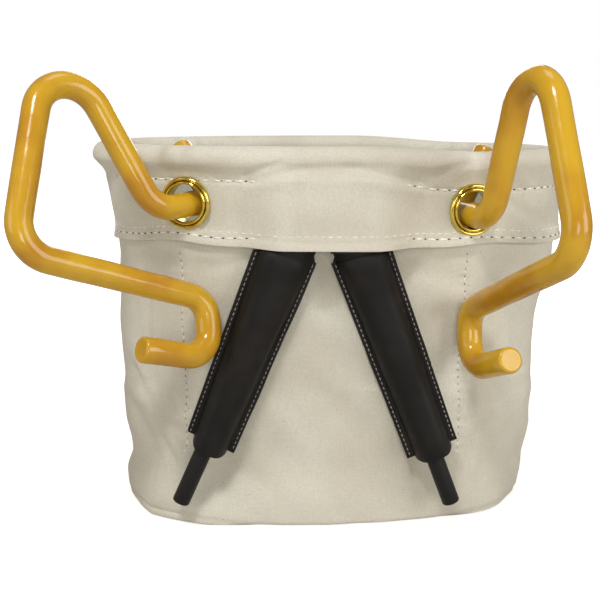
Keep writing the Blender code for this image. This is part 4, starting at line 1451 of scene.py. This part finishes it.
PHOTO_WIDTH = 600    # of the photograph in px
PHOTO_FOCAL = 938    # its focal length in px
PHOTO_DIP = 12.7     # how far the camera looks down, in degrees
SENSOR_WIDTH = 36    # in mm


def aim(item, target):
    """Turn a lamp or camera towards a point."""
    item.rotation_euler = (Vector(target) - item.location).to_track_quat("-Z", "Y").to_euler()


def soft_box(name, spot, size, power, tint=(1.0, 1.0, 1.0), target_height=0.15):
    """A square soft lamp aimed above the middle of the floor."""
    bpy.ops.object.light_add(type="AREA", location=spot)
    lamp = bpy.context.object
    lamp.name = name
    lamp.data.size = size
    lamp.data.energy = power
    lamp.data.color = tint
    aim(lamp, (0, 0, target_height))


def photo_camera(stage):
    """The camera of the photograph."""
    data = bpy.data.cameras.new("photo_camera")
    data.sensor_width = SENSOR_WIDTH
    data.lens = PHOTO_FOCAL * SENSOR_WIDTH / PHOTO_WIDTH
    data.clip_start, data.clip_end = 0.01, 50
    camera = bpy.data.objects.new("photo_camera", data)
    bpy.context.scene.collection.objects.link(camera)
    camera.location = (-stage.camera_side, -stage.camera_distance, stage.camera_height)
    camera.rotation_euler = (math.radians(90 - PHOTO_DIP), 0, 0)
    bpy.context.scene.camera = camera


# Operators


class BucketOperator(bpy.types.Operator):
    """Shared part of the operators, which build one kind of piece each."""

    bl_options = {"REGISTER", "UNDO"}


class BUCKET_OT_body(BucketOperator):
    """Model the soft canvas body."""

    bl_idname = "bucket.body"
    bl_label = "Canvas body"

    def execute(self, context):
        """Build the piece."""
        make_body(canvas_material())
        return {"FINISHED"}


class BUCKET_OT_rim(BucketOperator):
    """Model the rolled rim with its collar, and the rope inside the roll."""

    bl_idname = "bucket.rim"
    bl_label = "Rim and collar"

    def execute(self, context):
        """Build the pieces."""
        make_collar(canvas_material())
        make_rope(fine_grained("twisted cotton rope", settings("canvas").rope_colour,
                               roughness=0.9, size=2 * MM, contrast=0.3))
        return {"FINISHED"}


class BUCKET_OT_floor(BucketOperator):
    """Model the canvas floor, the stiff board on it and the front lining."""

    bl_idname = "bucket.floor"
    bl_label = "Floor and lining"

    def execute(self, context):
        """Build the pieces."""
        make_floor(canvas_material())
        make_board(fine_grained("pressed fibre board", settings("canvas").board_colour,
                                roughness=0.75, size=3 * MM, contrast=0.4))
        make_lining(canvas_material())
        return {"FINISHED"}


class BUCKET_OT_stitches(BucketOperator):
    """Sew the rows of thread on the collar and the body."""

    bl_idname = "bucket.stitches"
    bl_label = "Canvas stitches"

    def execute(self, context):
        """Build the pieces."""
        canvas = settings("canvas")
        # The second material is painted shadow for the needle holes, made with the thread's shader
        make_stitches(cotton_thread("cotton thread", canvas.thread_colour),
                      cotton_thread("painted needle hole shadow", canvas.hole_shadow_colour))
        return {"FINISHED"}


class BUCKET_OT_grommets(BucketOperator):
    """Turn the brass eyelets and their washers."""

    bl_idname = "bucket.grommets"
    bl_label = "Brass grommets"

    def execute(self, context):
        """Build the pieces."""
        make_grommets(polished_brass(settings("brass").brass_colour))
        return {"FINISHED"}


class BUCKET_OT_hooks(BucketOperator):
    """Bend and coat the two hooks."""

    bl_idname = "bucket.hooks"
    bl_label = "Coated hooks"

    def execute(self, context):
        """Build the pieces."""
        hooks = settings("hooks")
        make_hooks(dipped_vinyl(hooks.coat_colour, hooks.coat_shade),
                   fine_grained("drawn aluminium rod", hooks.rod_colour, roughness=0.4,
                                size=1 * MM, contrast=0.15, metallic=1.0))
        return {"FINISHED"}


class BUCKET_OT_sheaths(BucketOperator):
    """Cut and sew the leather sheaths and put the bars in them."""

    bl_idname = "bucket.sheaths"
    bl_label = "Leather sheaths and bars"

    def execute(self, context):
        """Build the pieces."""
        leather = settings("leather")
        hide = black_cowhide(leather.leather_colour, leather.edge_colour)
        thread = cotton_thread("waxed thread", leather.thread_colour)
        black = fine_grained("moulded black plastic", leather.bar_colour, roughness=0.55,
                             size=1.5 * MM, contrast=0.25)
        for side in SIDES:
            make_front(side, hide)
            make_back(side, hide)
            sew_sheath(side, thread)
            make_bend(side, hide)
            make_bar(side, black)
            dress(frame["nodes"]["sheath_tab_" + side], hide)
        return {"FINISHED"}


class BUCKET_OT_stage(BucketOperator):
    """Lay the floor, hang the lamps and place the camera."""

    bl_idname = "bucket.stage"
    bl_label = "Stage"

    def execute(self, context):
        """Build the stage."""
        stage = settings("stage")
        floor = primitive(bpy.ops.mesh.primitive_grid_add, "paper_floor", x_subdivisions=4,
                          y_subdivisions=4, size=stage.floor_size)
        dress(floor, paper_floor(stage.floor_colour))
        studio_world()
        warm = (1.0, 0.995, 0.98)
        soft_box("key_box", (-0.4, -1.1, 1.9), size=0.35, power=22.5, tint=warm)
        soft_box("low_box", (0.1, -2.1, 0.55), size=0.6, power=8, tint=(1.0, 1.0, 0.99))
        soft_box("left_box", (-1.6, -0.9, 0.7), size=1.0, power=6.5, tint=warm)
        soft_box("right_box", (1.5, -1.1, 0.7), size=1.0, power=15.5, tint=warm)
        soft_box("top_box", (0.1, 0.25, 1.9), size=0.7, power=4, target_height=0.2)
        soft_box("back_box", (0.1, 2.2, 1.0), size=1.2, power=17)
        photo_camera(stage)
        context.scene.view_settings.view_transform = "Standard"
        return {"FINISHED"}


class BUCKET_PT_panel(bpy.types.Panel):
    """Sizes, colours and operators of the tool bucket."""

    bl_idname = "BUCKET_PT_panel"
    bl_label = "Tool Bucket"
    bl_space_type = "VIEW_3D"
    bl_region_type = "UI"
    bl_category = "Tool Bucket"

    def draw(self, context):
        """List the groups and the operators."""
        layout = self.layout
        for name in GROUPS:
            box = layout.box()
            box.label(text=name.capitalize())
            group = settings(name)
            for key in type(group).__annotations__:
                box.prop(group, key)
        for operator in OPERATORS:
            layout.operator(operator.bl_idname)


GROUPS = {
    "canvas": BucketCanvas,
    "brass": BucketBrass,
    "hooks": BucketHooks,
    "leather": BucketLeather,
    "stage": BucketStage,
}
OPERATORS = (BUCKET_OT_body, BUCKET_OT_rim, BUCKET_OT_floor, BUCKET_OT_stitches,
             BUCKET_OT_grommets, BUCKET_OT_hooks, BUCKET_OT_sheaths, BUCKET_OT_stage)


def register():
    """Add the classes and the property groups to Blender."""
    for name, group in GROUPS.items():
        bpy.utils.register_class(group)
        setattr(bpy.types.Scene, "bucket_" + name, bpy.props.PointerProperty(type=group))
    for operator in OPERATORS:
        bpy.utils.register_class(operator)
    bpy.utils.register_class(BUCKET_PT_panel)


def unregister():
    """Take them out again."""
    bpy.utils.unregister_class(BUCKET_PT_panel)
    for operator in reversed(OPERATORS):
        bpy.utils.unregister_class(operator)
    for name, group in reversed(GROUPS.items()):
        delattr(bpy.types.Scene, "bucket_" + name)
        bpy.utils.unregister_class(group)


def main():
    """Build every piece and the stage."""
    register()
    bpy.ops.bucket.body()
    bpy.ops.bucket.rim()
    bpy.ops.bucket.floor()
    bpy.ops.bucket.stitches()
    bpy.ops.bucket.grommets()
    bpy.ops.bucket.hooks()
    bpy.ops.bucket.sheaths()
    bpy.ops.bucket.stage()


if __name__ == "__main__":
    main()
